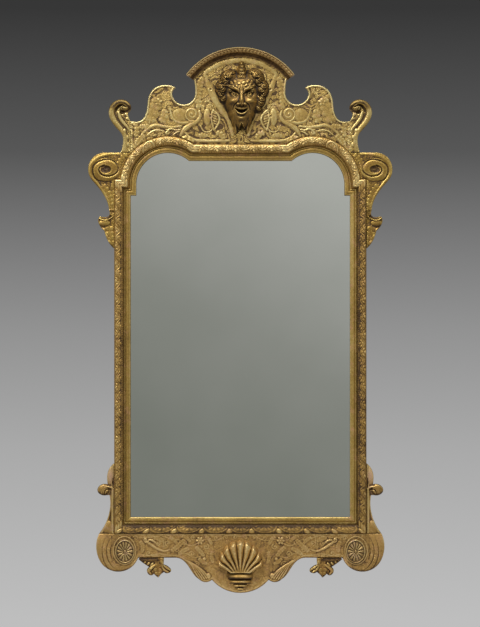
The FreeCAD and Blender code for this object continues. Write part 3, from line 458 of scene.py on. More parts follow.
# the outer swell is made brighter, but not along the bottom, where painted shadow of the inner row lies over its
# upper part
swell = np.interp(u, [-15, -12, -6, -1], [0.1, 0.6, 0.5, 0.0])
inner_row_shadow = 0.55 * climb(u, 3, 9)
for length, (path, run, paired) in LENGTHS.items():
    t = np.linspace(0, 1, int(run / 1.1) + 24)[:, None]
    # distance along the crest of the moulding, counted from its own middle so that the sprigs balance
    crest_x, crest_z = path(np.array([[CARVED_CREST]]), t)
    gone = np.concatenate([[0], np.cumsum(np.hypot(np.diff(crest_x[:, 0]), np.diff(crest_z[:, 0])))])
    s = (gone - gone[-1] / 2)[:, None]
    if length == "bottom":
        relief = 1.35 * lunettes(s, u)
    else:
        relief = 1.2 * sprigs(s, u)
        if length == "arch":
            relief = np.where(np.hypot(s / 21.0, (u - 10.0) / 20.0) < 1, crown_shell(s, u), relief)
        end = np.minimum(gone, gone[-1] - gone)[:, None]
        relief = np.where(end < CAP_REACH, leaf_cap(end, u), relief)
    relief = relief * carved
    x, z = path(np.clip(outs + relief * lean[0], CARVED_INNER, CARVED_OUTER), t)
    rows = np.stack([x, -(fronts + relief * lean[1]), z], -1)
    hollow = TONING[length] + shade + carved * (0.55 - relief * 0.7)
    if length == "bottom":
        hollow = np.clip(np.clip(hollow, -1, 1) + inner_row_shadow, -1, 1)
    else:
        hollow = np.clip(hollow - swell, -1, 1)
    ground = np.clip(1 - relief * 4, 0, 1) * carved
    fit_length("carved_" + length, paired, carved_gilding, RIGHT_CARVED_PAINTED_SHADE, rows, hollow, ground)


# Crest board: a fretted pine board glued over the head rail, with a gesso face carved in low relief.
# Straps, husks, a pair of scrolls and leafy tendrils stand 1 to 3 mm above a pricked ground,
# and a raised bead follows the sawn edge. The back is left bare.

BOARD_FACE = 38.0


class Carving:
    """A carver's drawing over one piece: heights in mm on a fine grid across (x) and up (z)."""

    def __init__(self, x0, x1, z0, z1, step=0.6):
        self.x0, self.z0, self.step = x0, z0, step
        across, up = np.arange(x0, x1 + step, step), np.arange(z0, z1 + step, step)
        self.x, self.z = np.meshgrid(across, up)
        self.height = np.zeros_like(self.x)

    def lay(self, part, height, how):
        """Lays heights over the drawing, adds them to it or cuts them out of it."""
        old = self.height[part]
        if how == "over":
            self.height[part] = np.maximum(old, height)
        else:
            self.height[part] = old + (height if how == "add" else -height)

    def window(self, x0, x1, z0, z1):
        """The part of the grid that lies between these bounds."""
        rows, columns = self.height.shape
        c0, c1 = int((x0 - self.x0) / self.step), int((x1 - self.x0) / self.step) + 2
        r0, r1 = int((z0 - self.z0) / self.step), int((z1 - self.z0) / self.step) + 2
        return slice(max(r0, 0), min(max(r1, 0), rows)), slice(max(c0, 0), min(max(c1, 0), columns))

    def around(self, x, z, half_width, half_height, turn=0.0, reach=1.0):
        """The part of the grid round an oval, with the square of each point's way out to the oval's edge."""
        reach *= max(half_width, half_height)
        part = self.window(x - reach, x + reach, z - reach, z + reach)
        dx, dz = self.x[part] - x, self.z[part] - z
        c, s = math.cos(math.radians(turn)), math.sin(math.radians(turn))
        return part, ((dx * c + dz * s) / half_width) ** 2 + ((dz * c - dx * s) / half_height) ** 2

    def dome(self, x, z, half_width, half_height, height, how="over", turn=0.0):
        """A half-round button, turned by an angle in degrees."""
        part, q = self.around(x, z, half_width, half_height, turn)
        self.lay(part, height * bow(q), how)

    def swell(self, x, z, half_width, half_height, height):
        """A soft swelling, or a hollow where the height is below 0."""
        part, q = self.around(x, z, half_width, half_height, reach=2.4)
        self.lay(part, height * np.exp(-q), "add")

    def stroke(self, points, widths, heights, how="over", reeds=0):
        """A drawn line with a rounded or reeded back. Widths and heights are spread evenly along it."""
        line = drawn(points)
        share = np.linspace(0, 1, len(line))
        half = np.interp(share, np.linspace(0, 1, len(widths)), widths) / 2
        tall = np.interp(share, np.linspace(0, 1, len(heights)), heights)
        tangent = np.gradient(line, axis=0)
        for first in range(0, len(line), 48):
            bit = slice(first, first + 49)
            pad = half[bit].max() + self.step
            low, high = line[bit].min(0) - pad, line[bit].max(0) + pad
            part = self.window(low[0], high[0], low[1], high[1])
            if self.x[part].size == 0:
                continue
            dx = self.x[part][..., None] - line[bit, 0]
            dz = self.z[part][..., None] - line[bit, 1]
            nearest = (dx * dx + dz * dz).argmin(-1)
            pick = np.expand_dims(nearest, -1)
            dx, dz = np.take_along_axis(dx, pick, -1)[..., 0], np.take_along_axis(dz, pick, -1)[..., 0]
            along = tangent[bit][nearest]
            q = np.hypot(dx, dz) / half[bit][nearest]
            form = bow(q * q)
            if reeds:
                side = np.sign(dx * along[..., 1] - dz * along[..., 0]) * q
                form = form * (0.62 + 0.38 * np.abs(np.cos(math.pi * reeds * (side + 1) / 2)))
            self.lay(part, tall[bit][nearest] * form, how)

    def spiral(self, x, z, outer, turns, start, width, height):
        """A scroll that winds in to an eye. start is where its mouth lies, in degrees."""
        share = np.linspace(0, 1, int(28 * turns))
        radius = outer * (1 - share) + width * 0.35
        angle = np.radians(start + 360 * turns * share)
        points = np.stack([x + radius * np.cos(angle), z + radius * np.sin(angle)], 1)
        self.stroke(points, [width, width * 0.9, width * 0.6], [height * 0.8, height])
        self.dome(x, z, width * 0.75, width * 0.75, height * 1.25)

    def leaf(self, points, width, height, lobes=5):
        """An acanthus leaf: a full body, rounded lobes along both sides, veins cut between them and a raised rib."""
        line = drawn(points)
        length = np.hypot(*np.diff(line, axis=0).T).sum()
        widths = [width * share for share in (0.2, 0.62, 0.6, 0.4, 0.1)]
        self.stroke(points, widths, [height * share for share in (0.5, 0.7, 0.6, 0.3)])
        for lobe in range(lobes):
            share = (lobe + 0.4) / lobes
            at = int(share * 0.9 * (len(line) - 2))
            root, ahead = line[at], line[at + 1] - line[at]
            ahead = ahead / np.hypot(*ahead)
            reach = width * (0.28 + 0.34 * math.sin(math.pi * (0.2 + 0.75 * share)))
            for turn in (1, -1):
                aside = np.array([-ahead[1], ahead[0]]) * turn
                out = aside * 0.8 + ahead * 0.6
                facing = math.degrees(math.atan2(out[1], out[0]))
                middle = root + out * reach * 0.5
                self.dome(*middle, reach * 0.6, 0.5 * length / lobes, height * 0.85, turn=facing)
                vein = [root + ahead * width * 0.1, root + out * reach]
                self.stroke(vein, [0.9, 1.1], [height * 0.2, height * 0.5], how="cut")
        self.stroke(points, [width * 0.1, width * 0.06], [height, height * 0.6])

    def flower(self, x, z, radius, petals, first, half_width, half_height, height):
        """A ring of petals, the first at an angle in degrees."""
        for petal in range(petals):
            turn = 360 / petals * petal + first
            a = math.radians(turn)
            middle = x + radius * math.cos(a), z + radius * math.sin(a)
            self.dome(*middle, half_width, half_height, height, turn=turn)

    def soften(self, reach):
        """Rounds the drawing over a distance, as gesso does."""
        count = max(1, int(3 * reach / self.step))
        kernel = np.exp(-0.5 * ((np.arange(-count, count + 1) * self.step) / reach) ** 2)
        kernel /= kernel.sum()

        def smooth(row):
            return np.convolve(np.pad(row, count, mode="edge"), kernel, "valid")

        for axis in (0, 1):
            self.height = np.apply_along_axis(smooth, axis, self.height)

    def at(self, x, z, edge=None):
        """Heights under many points at once, however far they lie from the edge."""
        rows, columns = self.height.shape
        c = np.clip((x - self.x0) / self.step, 0, columns - 1.001)
        r = np.clip((z - self.z0) / self.step, 0, rows - 1.001)
        i, j = r.astype(int), c.astype(int)
        v, u = r - i, c - j
        h = self.height
        return (h[i, j] * (1 - u) + h[i, j + 1] * u) * (1 - v) + (h[i + 1, j] * (1 - u) + h[i + 1, j + 1] * u) * v


def drawn(points, gap=0.9):
    """A smooth line through a few points, as closely spaced points."""
    p = np.array(points, float)
    p = np.vstack([2 * p[0] - p[1], p, 2 * p[-1] - p[-2]])
    line = []
    for a, b, c, d in zip(p[:-3], p[1:-2], p[2:-1], p[3:]):
        steps = max(2, int(np.hypot(*(c - b)) / gap))
        t = np.linspace(0, 1, steps, endpoint=False)[:, None]
        line.append(0.5 * (2 * b + (c - a) * t + (2 * a - 5 * b + 4 * c - d) * t**2 + (3 * b - a - 3 * c + d) * t**3))
    return np.vstack(line + [p[-2:-1]])


def blank(node_name, voxel, cut_at=None):
    """The wood for a carved piece: a copy of its CAD node, cut back to a depth and remeshed finely. Sizes in mm."""
    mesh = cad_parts[node_name].data.copy()
    mesh.materials.clear()
    piece = as_piece("gilt_" + node_name, mesh)
    bpy.ops.object.mode_set(mode="EDIT")
    bpy.ops.mesh.select_all(action="SELECT")
    bpy.ops.mesh.remove_doubles(threshold=0.00001)
    if cut_at is not None:
        bpy.ops.mesh.bisect(plane_co=(0, -cut_at / 1000, 0), plane_no=(0, -1, 0), use_fill=True, clear_outer=True)
    bpy.ops.object.mode_set(mode="OBJECT")
    remesh = piece.modifiers.new("remesh", "REMESH")
    remesh.mode = "VOXEL"
    remesh.voxel_size = voxel / 1000
    remesh.use_smooth_shade = True
    bpy.ops.object.modifier_apply(modifier="remesh")
    return piece


def vectors(items, what):
    """A vector of each point or face of a mesh."""
    values = np.empty(len(items) * 3, np.float32)
    items.foreach_get(what, values)
    return values.reshape(-1, 3).astype(float)


def points_of(mesh):
    """The places of a mesh's points, in mm."""
    return vectors(mesh.vertices, "co") * 1000


def move_points(mesh, points):
    """Moves the points of a mesh to new places, in mm."""
    mesh.vertices.foreach_set("co", (points / 1000).astype(np.float32).ravel())
    mesh.update()


def note_hollows_and_shade(mesh, reach=0.6, rounds=14, grime_and_shade=None, lower_edge_dirt_and_shade=0):
    """Marks how far each point lies below or above the surface close by and further round it, for toning and wear.
    Undersides get painted shade. The grime function of x and z in mm darkens given places, with grime on some pieces
    and painted shade on others, and the last argument darkens single points with painted shade and dirt."""
    points, normals = points_of(mesh), vectors(mesh.vertices, "normal")
    ends = np.empty(len(mesh.edges) * 2, np.int32)
    mesh.edges.foreach_get("vertices", ends)
    a, b = ends.reshape(-1, 2).T
    size = len(points)
    count = np.maximum(np.bincount(a, minlength=size) + np.bincount(b, minlength=size), 1)[:, None]
    smooth = points.copy()
    for turn in range(rounds * 5):
        if turn == rounds:
            close = ((smooth - points) * normals).sum(1) / reach
        around = [np.bincount(a, smooth[b, k], size) + np.bincount(b, smooth[a, k], size) for k in range(3)]
        smooth = 0.5 * smooth + 0.5 * np.stack(around, 1) / count
    wide = ((smooth - points) * normals).sum(1) / (4 * reach)
    given_grime_and_shade = grime_and_shade(points[:, 0], points[:, 2]) if grime_and_shade else 0
    # painted shade: every face that turns downwards is darkened
    under = 1.3 * np.clip(-normals[:, 2] - 0.1, 0, 1)
    recess_and_shading = np.clip(close, -1, 1) + np.clip(wide, -0.15, 0.9) + given_grime_and_shade + under + lower_edge_dirt_and_shade
    put_attribute(mesh, "recess_and_shading", np.clip(recess_and_shading, -1, 1))


def carve(piece, height_at, face, fade=1.0, grime_and_shade=None):
    """Raises the front of a blank by height_at(x, z, edge) in mm, where edge is the distance in from the sawn edge.
    The face is the depth of its front, and the relief dies away over the fade at the edge."""
    mesh = piece.data
    points, normals = points_of(mesh), vectors(mesh.vertices, "normal")
    front = (normals[:, 1] < -0.5) & (points[:, 1] < -face + 2.0)
    rim = np.nonzero((np.abs(normals[:, 1]) < 0.5) & (points[:, 1] < -face + 8))[0]
    tree = kdtree.KDTree(len(rim))
    for i in rim:
        tree.insert((points[i, 0], 0, points[i, 2]), int(i))
    tree.balance()
    where = np.nonzero(front)[0]
    found = [tree.find((points[i, 0], 0, points[i, 2]))[1:] for i in where]
    nearest, edge = (np.array(side) for side in zip(*found))
    # painted shade and dirt darken the lower edges of the front
    lower_edge_dirt_and_shade = np.zeros(len(points))
    lower_edge_dirt_and_shade[where] = np.clip(-1.2 * normals[nearest, 2], 0, 1) * np.clip(1.5 - edge / 3.6, 0, 1)
    drawing = height_at(points[where, 0], points[where, 2], edge)
    lift = np.where(drawing > 0, drawing * np.clip(edge / fade, 0, 1), drawing)
    points[where, 1] -= lift
    # where the front is cut away at the edge, the sawn side below it goes down with it
    back = points[:, 1].max()
    drop = np.minimum(height_at(points[:, 0], points[:, 2], np.zeros(len(points))), 0)
    points[:, 1] -= np.where(front, 0, drop * np.clip((back - points[:, 1]) / (back + face), 0, 1))
    move_points(mesh, points)
    ground = np.zeros(len(points))
    ground[where] = np.clip(1 - np.abs(lift) * 2.5, 0, 1)
    put_attribute(mesh, "ground", ground)
    note_hollows_and_shade(mesh, grime_and_shade=grime_and_shade, lower_edge_dirt_and_shade=lower_edge_dirt_and_shade)
    # the plain back needs only a few faces, so it is cut away and filled afresh
    bpy.ops.object.mode_set(mode="EDIT")
    bpy.ops.mesh.select_mode(type="FACE")
    bpy.ops.mesh.select_all(action="DESELECT")
    bpy.ops.object.mode_set(mode="OBJECT")
    depth = vectors(mesh.polygons, "center")[:, 1]
    flat_back = (vectors(mesh.polygons, "normal")[:, 1] > 0.9) & (depth > points[:, 1].max() / 1000 - 0.0005)
    mesh.polygons.foreach_set("select", flat_back)
    bpy.ops.object.mode_set(mode="EDIT")
    bpy.ops.mesh.delete(type="FACE")
    bpy.ops.mesh.select_mode(type="EDGE")
    bpy.ops.mesh.select_non_manifold()
    bpy.ops.mesh.fill(use_beauty=False)
    turn_outward()
    # the back is bare wood and flat
    backward = vectors(mesh.polygons, "normal")[:, 1]
    mesh.polygons.foreach_set("material_index", (backward > 0.6).astype(np.int32))
    mesh.polygons.foreach_set("use_smooth", backward < 0.6)
    mesh.update()
    return piece


crest = Carving(0, 282, 455, 712)
# plain strap that frames the mask like a shield and runs on under the cornice
crest.stroke(
    [(86, 640), (78, 620), (63, 588), (46, 562), (31, 542), (24, 520), (20, 500)], [9, 17, 16, 15, 13, 8],
    [1.6, 2.2, 1.8],
)
crest.stroke([(84, 640), (88, 654), (68, 668), (48, 678), (24, 684), (0, 686.5)], [9, 13, 13], [1.5, 1.7, 1.6])
# leafy branch under the cornice
crest.leaf([(105, 598), (103, 620), (96, 640), (90, 650)], 16, 2.0, 5)
crest.leaf([(102, 566), (106, 584), (102, 606)], 14, 1.8, 3)
# hanging husk, smooth, in a cut outline
crest.dome(83, 545, 9, 22, 3.0)
crest.stroke(
    [(97, 566), (96, 545), (92, 524), (83, 516), (74, 524), (70, 545), (71, 560)], [1.6, 3.0, 3.4, 3.0, 1.6],
    [0.6, 1.5, 1.8, 1.5, 0.6], how="cut",
)
crest.stroke([(100, 524), (93, 511), (83, 507), (73, 511), (67, 521)], [2.4, 3.4, 2.4], [1.2, 1.8, 1.2])
# ribbed lozenge beside it
crest.stroke([(68, 562), (57, 552), (52, 538), (58, 522), (66, 512)], [4, 5, 5, 4], [2.0, 2.6, 2.2], reeds=1)
crest.stroke([(68, 562), (73, 545), (70, 528), (66, 512)], [3.4, 4.4, 3.4], [2.0, 2.4, 2.0])
for rung in range(5):
    crest.stroke([(58 + rung * 0.6, 526 + rung * 6.5), (70, 531 + rung * 6.5)], [2.4, 2.0], [1.8, 1.6])
crest.leaf([(60, 506), (47, 500), (40, 486)], 14, 2.4, 4)
# C-scroll with its reeded band, round a smooth oval
crest.dome(121, 552, 17, 17, 1.6)
crest.spiral(121, 552, 17, 1.75, 250, 3.4, 2.8)
crest.stroke(
    [(115, 535), (128, 532), (146, 530), (163, 536), (172, 550), (176, 566)], [5, 9, 9, 8, 4], [1.4, 2.2, 1.4],
    reeds=2,
)
crest.stroke(
    [(150, 498), (141, 512), (126, 524), (110, 533), (101, 546), (103, 560)], [5, 13, 13, 10, 5],
    [1.6, 2.8, 2.8, 1.8], reeds=3,
)
crest.dome(151, 550, 19, 17, 2.0)
# tendrils over the arch
crest.stroke(
    [(252, 494), (240, 508), (226, 519), (211, 524), (190, 521), (170, 519), (148, 522)], [4, 8, 10, 9, 8, 5],
    [1.4, 2.4, 2.4, 1.8], reeds=2,
)
crest.stroke([(232, 500), (220, 509), (206, 512), (190, 509)], [3, 4, 3.4, 2], [1.8, 2.4, 1.6])
crest.stroke([(185, 503), (181, 511), (173, 515), (160, 512), (150, 514)], [5, 5.5, 4, 3], [2.6, 3.2, 2.2])
crest.spiral(184, 506, 6, 1.1, 80, 3.2, 2.6)
crest.stroke([(168, 500), (160, 506), (151, 509)], [3, 4, 2.6], [1.8, 2.6, 1.8])
crest.leaf([(228, 530), (222, 550), (213, 572), (206, 600)], 28, 2.0, 4)
crest.leaf([(198, 530), (190, 548), (192, 568)], 18, 1.8, 3)
crest.flower(205, 582, 6, 5, 20, 5, 3.6, 2.4)
crest.leaf([(228, 524), (240, 520), (256, 522)], 13, 2.2, 4)
crest.leaf([(240, 500), (252, 488), (263, 470)], 15, 2.4, 5)
crest.leaf([(262, 530), (258, 510), (264, 490)], 12, 2.2, 4)
# leaf cap over the cusp of the arch
crest.leaf([(118, 478), (130, 488), (146, 494)], 17, 3.6, 3)
crest.dome(127, 486, 8, 5.5, 4.2, turn=35)
crest.dome(140, 492, 7, 5, 3.8, turn=20)
# a leaf fills the field over the straight head, and a plain fillet runs along the joint
crest.leaf([(104, 497), (92, 500), (78, 497)], 11, 1.9, 4)
crest.stroke(
    [(138, 506), (129, 496), (112, 487), (90, 485), (60, 485), (28, 486)], [4, 7, 8, 8, 8, 6],
    [1.6, 2.2, 2.0, 2.0, 2.0, 1.4],
)
crest.soften(0.55)


def crest_height(x, z, edge):
    """The drawing, and a bead along the free edge, but not along the joints with the moulding and the scrolls."""
    x = np.abs(x)
    joint = (x > 264) & (z < 534) | (np.hypot(x - ARCH_X, z - ARCH_Z) < 127) | (x < 130) & (z < 486)
    bead = 1.5 * bow(((edge - 2.4) / 2.4) ** 2)
    drawing = 0.62 * crest.at(x, z)
    return np.where(joint | (bead == 0), drawing, np.maximum(drawing, bead))


crest_gilding = gilding(
    "water-gilt gesso, crest", dark="4a3412", mid="ab8d4c", light="e0cd8e",
    rub=0.55, rub_colour="ab8064", tendrils=1.1,
)
pine_back = old_pine("bare pine, back of the carving", "X", light="9a774a", dark="5d3f22")
piece = carve(blank("crest_board", 1.25), crest_height, BOARD_FACE, fade=0.8)
dress(piece, "crest_board", crest_gilding, pine_back)


# Cornice: an arched moulding planted on the top edge of the crest board.
# A thin fillet, a swelling band carved with leaves and beads, and a hollow under it, painted dark as shade.

CORNICE_Z, CORNICE_RADIUS, CORNICE_SWING = 549.5, 168.0, math.asin(135.0 / 168.0)
# section: out from the top, forward from the wall, and how hollow it is there
CORNICE_FILLET = [
    (-10.0, 24.0, 0.4), (0.0, 24.0, 0.2), (0.0, 30.0, 0.0), (0.0, 45.0, 0.0), (0.0, 58.2, -0.5), (-0.9, 59.7, -0.9),
    (-2.2, 59.7, -0.9), (-3.0, 58.8, -0.2), (-3.3, 57.4, 0.8),
]
CORNICE_BAND = [(-3.6 - 9.6 * step / 14, 57.8 - 6.5 * (step / 14) ** 1.6, 0.0) for step in range(15)]
# painted shade: the hollow under the band is made dark, as shade falls there
CORNICE_HOLLOW = [
    (-13.9, 48.4, 0.9), (-15.0, 45.6, 0.8), (-16.6, 43.2, 0.9), (-18.6, 41.2, 0.9), (-20.6, 40.0, 0.5),
    (-22.0, 39.4, 0.1), (-22.0, 38.0, 1.0), (-10.0, 38.0, 1.0),
]
CORNICE_LEAF = 9.0
outs, fronts, hollows = np.array(CORNICE_FILLET + CORNICE_BAND + CORNICE_HOLLOW).T
band = slice(len(CORNICE_FILLET), len(CORNICE_FILLET) + len(CORNICE_BAND))
t = np.linspace(-CORNICE_SWING, CORNICE_SWING, 330)[:, None]
s = np.abs(t * (CORNICE_RADIUS - 8))
w = np.linspace(-1, 1, len(CORNICE_BAND))
# leaves lean over each other, with a bead at the root of each
lean = ((s + 4.2 * (1 - w * w) + 2.2 * w) / CORNICE_LEAF) % 1
leaf_form = 1.3 * bow(((lean - 0.5) / 0.46) ** 2) * np.clip((1 - np.abs(w)) * 3, 0, 1)
bead_form = 1.1 * bow(((s / CORNICE_LEAF % 1 - 0.5) * CORNICE_LEAF / 2.2) ** 2 + ((w - 0.72) / 0.26) ** 2)
relief = np.zeros((len(t), len(outs)))
relief[:, band] = np.maximum(leaf_form, bead_form) - 0.6
radius = CORNICE_RADIUS + outs - relief * 0.45
rows = np.stack([radius * np.sin(t), -(fronts + relief * 0.8), CORNICE_Z + radius * np.cos(t)], -1)
hollow = hollows + 0 * t
hollow[:, band] = np.clip(0.25 - relief[:, band] * 0.95, -1, 1)
cornice_gilding = gilding(
    "water-gilt gesso, cornice", dark="402a10", mid="9c7a46", light="d4ba80", rub=0.5, rub_colour="8e6644"
)
dress(moulded("gilt_cornice", rows, hollow), "cornice", cornice_gilding)


# Mask on the crest: a grotesque satyr head carved in the round from limewood and screwed on from behind.
# Slanting brows, a long nose, an open mouth, drilled curls, pointed ears and a forked beard.
# Its gilding is darker than the field, a brown bronze rubbed brighter on brow, nose and cheeks.


def raised(name, carving, least=0.3, grime_and_shade=None):
    """A carved ornament made from its drawing alone: relief in front, a flat back on the face of the board. In mm."""
    keep = carving.height > least
    columns = keep.shape[1]
    row, column = np.nonzero(keep[:-1, :-1] & keep[1:, :-1] & keep[:-1, 1:] & keep[1:, 1:])
    corner = row * columns + column
    quads = np.stack([corner, corner + 1, corner + columns + 1, corner + columns], 1)
    used, index = np.unique(quads, return_inverse=True)
    x, z, h = carving.x.ravel()[used], carving.z.ravel()[used], carving.height.ravel()[used]
    mesh = bpy.data.meshes.new(name)
    places = np.stack([x, -BOARD_FACE - h, z], 1) / 1000
    mesh.from_pydata(places.tolist(), [], index.reshape(-1, 4).tolist())
    piece = as_piece(name, mesh)
    bpy.ops.object.mode_set(mode="EDIT")
    bpy.ops.mesh.select_mode(type="EDGE")
    bpy.ops.mesh.select_all(action="DESELECT")
    bpy.ops.mesh.select_non_manifold()
    bpy.ops.mesh.extrude_region_move(TRANSFORM_OT_translate={"value": (0, 0.0004, 0)})
    bpy.ops.mesh.fill(use_beauty=False)
    turn_outward()
    points = points_of(mesh)
    points[len(used) :, 1] = -BOARD_FACE
    move_points(mesh, points)
    note_hollows_and_shade(mesh, reach=0.8, rounds=16, grime_and_shade=grime_and_shade)
    put_attribute(mesh, "ground", np.zeros(len(points)))
    bpy.ops.object.shade_smooth()
    return piece


MASK_X = 3.0
mask = Carving(-68, 74, 494, 690)


def on_face(side, *points):
    """Points of the face, given out from its middle line."""
    return [(MASK_X + side * x, z) for x, z in points]


for x, z, half_width, half_height, rise in (
    (0, 604, 43, 47, 33), (0, 580, 41, 40, 33), (0, 557, 33, 32, 31), (0, 540, 24, 27, 27),
    (-30, 640, 22, 22, 26), (32, 641, 22, 24, 26), (-47, 616, 17, 22, 20), (49, 614, 18, 24, 20),
    (47, 588, 12, 16, 17), (41, 568, 9, 13, 14), (-44, 594, 12, 14, 15), (0, 650, 13, 16, 22),
):
    mask.dome(MASK_X + x, z, half_width, half_height, rise)
mask.soften(2.4)
# a tuft of hair stands up over the forehead, ragged and pointed
mask.dome(MASK_X, 654, 13, 20, 21)
mask.dome(MASK_X, 668, 8, 17, 17)
for side in (-1, 1):
    # beard: two locks that taper to their tips
    mask.stroke(on_face(side, (16, 552), (17, 534), (15, 519), (13.5, 504)), [26, 18, 11, 4], [26, 19, 11, 5])
    # ears: pointed, turned out and up
    mask.stroke(on_face(side, (43, 594), (55, 604), (64, 612)), [15, 12, 3], [18, 15, 8])
    mask.stroke(on_face(side, (46, 597), (57, 606)), [6, 3], [6, 3], how="cut")
mask.soften(0.9)
skull = mask.height > 0.5
skull &= ~(np.abs(mask.x - MASK_X) < 0.5 * (528 - mask.z))
for side in (-1, 1):
    # eye socket, ball and lids, under a brow that slants down to the nose
    mask.swell(MASK_X + side * 20, 601, 11, 7.5, -15)
    mask.dome(MASK_X + side * 20.5, 600, 6.4, 5.0, 8.0, how="add", turn=side * 16)
    mask.stroke(on_face(side, (11, 599), (18, 604), (28, 606)), [2.6, 3.4, 2.6], [2.6, 3.4, 2.0], how="add")
    mask.stroke(on_face(side, (13, 595.5), (20, 593.5), (27, 597.5)), [2.4, 2.8, 2.0], [2.0, 2.4, 1.4], how="add")
    mask.dome(MASK_X + side * 19, 600, 1.7, 1.7, 3.0, how="cut")
    mask.stroke(
        on_face(side, (4, 603), (13, 610), (25, 618), (37, 620)), [9, 11, 10, 6], [2.0, 3.6, 3.2, 1.6], how="add",
    )
    mask.stroke(on_face(side, (5, 600), (15, 607), (28, 613)), [3.4, 4.6, 2.8], [4.0, 6.0, 3.0], how="cut")
    # furrows of the frown, and locks that fall over the forehead
    mask.stroke(on_face(side, (3.5, 603), (4.5, 611), (3, 619)), [2.2, 2.4, 1.6], [3.4, 3.4, 1.4], how="cut")
    for x, z, size in ((6, 628, 6), (16, 632, 6), (25, 628, 6), (12, 621, 4.5), (21, 621, 4.5), (32, 622, 5)):
        mask.dome(MASK_X + side * x, z + side * 1.2, size, size * 0.7, 2.4, how="add", turn=side * x * 4)
        mask.stroke(
            on_face(side, (x - size, z - 3), (x, z - 5), (x + size, z - 2)), [1.4, 2.0, 1.4], [1.0, 1.6, 1.0],
            how="cut",
        )
    # cheekbone, the fold beside the mouth, the wing of the nose
    mask.swell(MASK_X + side * 26, 583, 11, 8, 7.0)
    mask.stroke(on_face(side, (10, 579), (18, 572), (22, 561)), [3.0, 4.0, 2.4], [2.0, 2.4, 1.0], how="cut")
    mask.dome(MASK_X + side * 7.6, 574, 5.2, 4.8, 7.5, how="add")
    mask.dome(MASK_X + side * 4.6, 569.5, 2.4, 2.0, 4.5, how="cut")
    # two strands cut in each lock of the beard
    for strand in range(2):
        x, foot = 13.0 + strand * 6, 12.0 + strand * 2.5
        mask.stroke(on_face(side, (x, 535), (x, 522), (foot, 506)), [1.6, 2.2, 1.2], [0.8, 2.2, 1.2], how="cut")
# nose, mouth and chin
mask.stroke(on_face(1, (0, 604), (0, 594), (0, 581), (0, 574)), [8, 9.5, 12, 11], [1.5, 9, 16, 13], how="add")
mask.stroke(
    on_face(1, (-15, 564), (-8, 559), (0, 557), (8, 559), (15, 564)), [2.5, 7, 9, 7, 2.5], [5, 14, 17, 14, 5],
    how="cut",
)
mask.stroke(
    on_face(1, (-14, 559), (-7, 552), (0, 550), (7, 552), (14, 559)), [2.4, 4.6, 5.2, 4.6, 2.4],
    [2.4, 5.0, 6.0, 5.0, 2.4], how="add",
)
mask.swell(MASK_X, 540, 9, 6, 6.0)
mask.swell(MASK_X, 546, 8, 2.4, -3.5)
# locks of the hair, heaped unevenly, each with a winding groove and a dark hollow
for x, z, size in (
    (-34, 649, 13), (-48, 637, 11), (-40, 626, 9), (-55, 621, 10), (-46, 611, 8), (-51, 601, 8), (-22, 656, 8),
    (-45, 588, 7),
    (37, 651, 13), (51, 638, 11), (43, 628, 9), (57, 622, 10), (49, 611, 9), (54, 601, 8), (51, 589, 8), (48, 577, 8),
    (43, 565, 7), (24, 657, 8),
):
    side = 1 if x > 0 else -1
    mask.dome(MASK_X + x, z, size, size * 0.88, 5.6, how="add", turn=x * 7.0)
    mask.stroke(
        on_face(1, (x - side * 0.75 * size, z + 0.1 * size), (x, z + 0.6 * size), (x + side * 0.6 * size, z),
         (x, z - 0.4 * size), (x - side * 0.25 * size, z)),
        [1.6, 2.4, 2.4, 2.0, 1.6], [1.4, 2.8, 3.2, 3.2, 2.8], how="cut",
    )
    mask.dome(MASK_X + x + side * 0.1 * size, z - 0.9 * size, size * 0.4, size * 0.26, 2.6, how="cut")
for row in range(5):
    for x in (-7.5, -2.5, 2.5, 7.5):
        x = x * (1 - 0.17 * row) + (2.0 if row % 2 else 0.0)
        mask.dome(MASK_X + x, 644 + row * 8.5, 3.4 - 0.3 * row, 5.4, 3.6, how="add", turn=-x * 3)
mask.height = np.where(skull, np.clip(mask.height, 1.2, 48.5), 0)
mask.soften(0.4)
mask_gilding = gilding(
    "bronzed gilding, mask", dark="2a1b08", mid="886932", light="d4b56e", toning=1.1, rub=0.25, rub_colour="7a5136"
)


def mask_grime(x, z):
    """The hair is darker than the face."""
    return 0.32 * climb(np.hypot((x - MASK_X) / 38, (z - 588) / 46), 0.95, 0.12) * climb(z, 555, 15)


dress(raised("gilt_mask", mask, grime_and_shade=mask_grime), "mask", mask_gilding)


# End scrolls of the crest: straps of pine that rise from the ears, turn out and roll over at the top.
# A broad strap and an inner ridge hold a few buds between them, and the end rolls forward over a deep hollow.

SCROLL_FACE = 40.0
scroll = Carving(268, 336, 450, 594)
scroll.stroke(
    [(291, 456), (287, 482), (289, 499), (301, 517), (315, 535), (322, 555), (317, 571), (305, 581), (290, 581),
     (279, 575)],
    [10, 11, 12, 14, 15, 14, 13, 11], [0.6, 1.6, 2.6, 3.6, 4.6, 6.0, 7.5, 8.0],
)
scroll.stroke(
    [(304, 556), (300, 542), (291, 529), (282, 519), (275, 508)], [7, 9, 9, 7, 4], [2.6, 2.8, 2.6, 2.0, 0.8],
)
scroll.dome(290, 510, 5, 6, 2.8)
scroll.dome(283, 494, 4.5, 6, 2.2)
scroll.dome(281, 476, 4, 6, 1.6)
scroll.leaf([(283, 556), (281, 545), (275, 533)], 10, 2.2, 2)
scroll.dome(289, 570, 12, 11, 6.5)
scroll.dome(276, 574, 5, 8, 7.5)
scroll.stroke([(311, 558), (307, 568), (297, 574), (285, 570)], [3, 5, 5, 3], [3.0, 6.0, 6.0, 3.0], how="cut")
scroll.dome(295, 557, 7, 5, 5.0, how="cut")
scroll.stroke([(293, 563), (296, 568), (292, 572), (286, 569)], [2.0, 2.4, 2.0], [2.0, 3.0, 2.0], how="cut")
scroll.soften(0.6)


def spot(x, z, at_x, at_z, half_width, half_height, power=2):
    """A soft round spot on both sides of the mirror, 1 in its middle."""
    return np.exp(-(((np.abs(x) - at_x) / half_width) ** power) - ((z - at_z) / half_height) ** power)


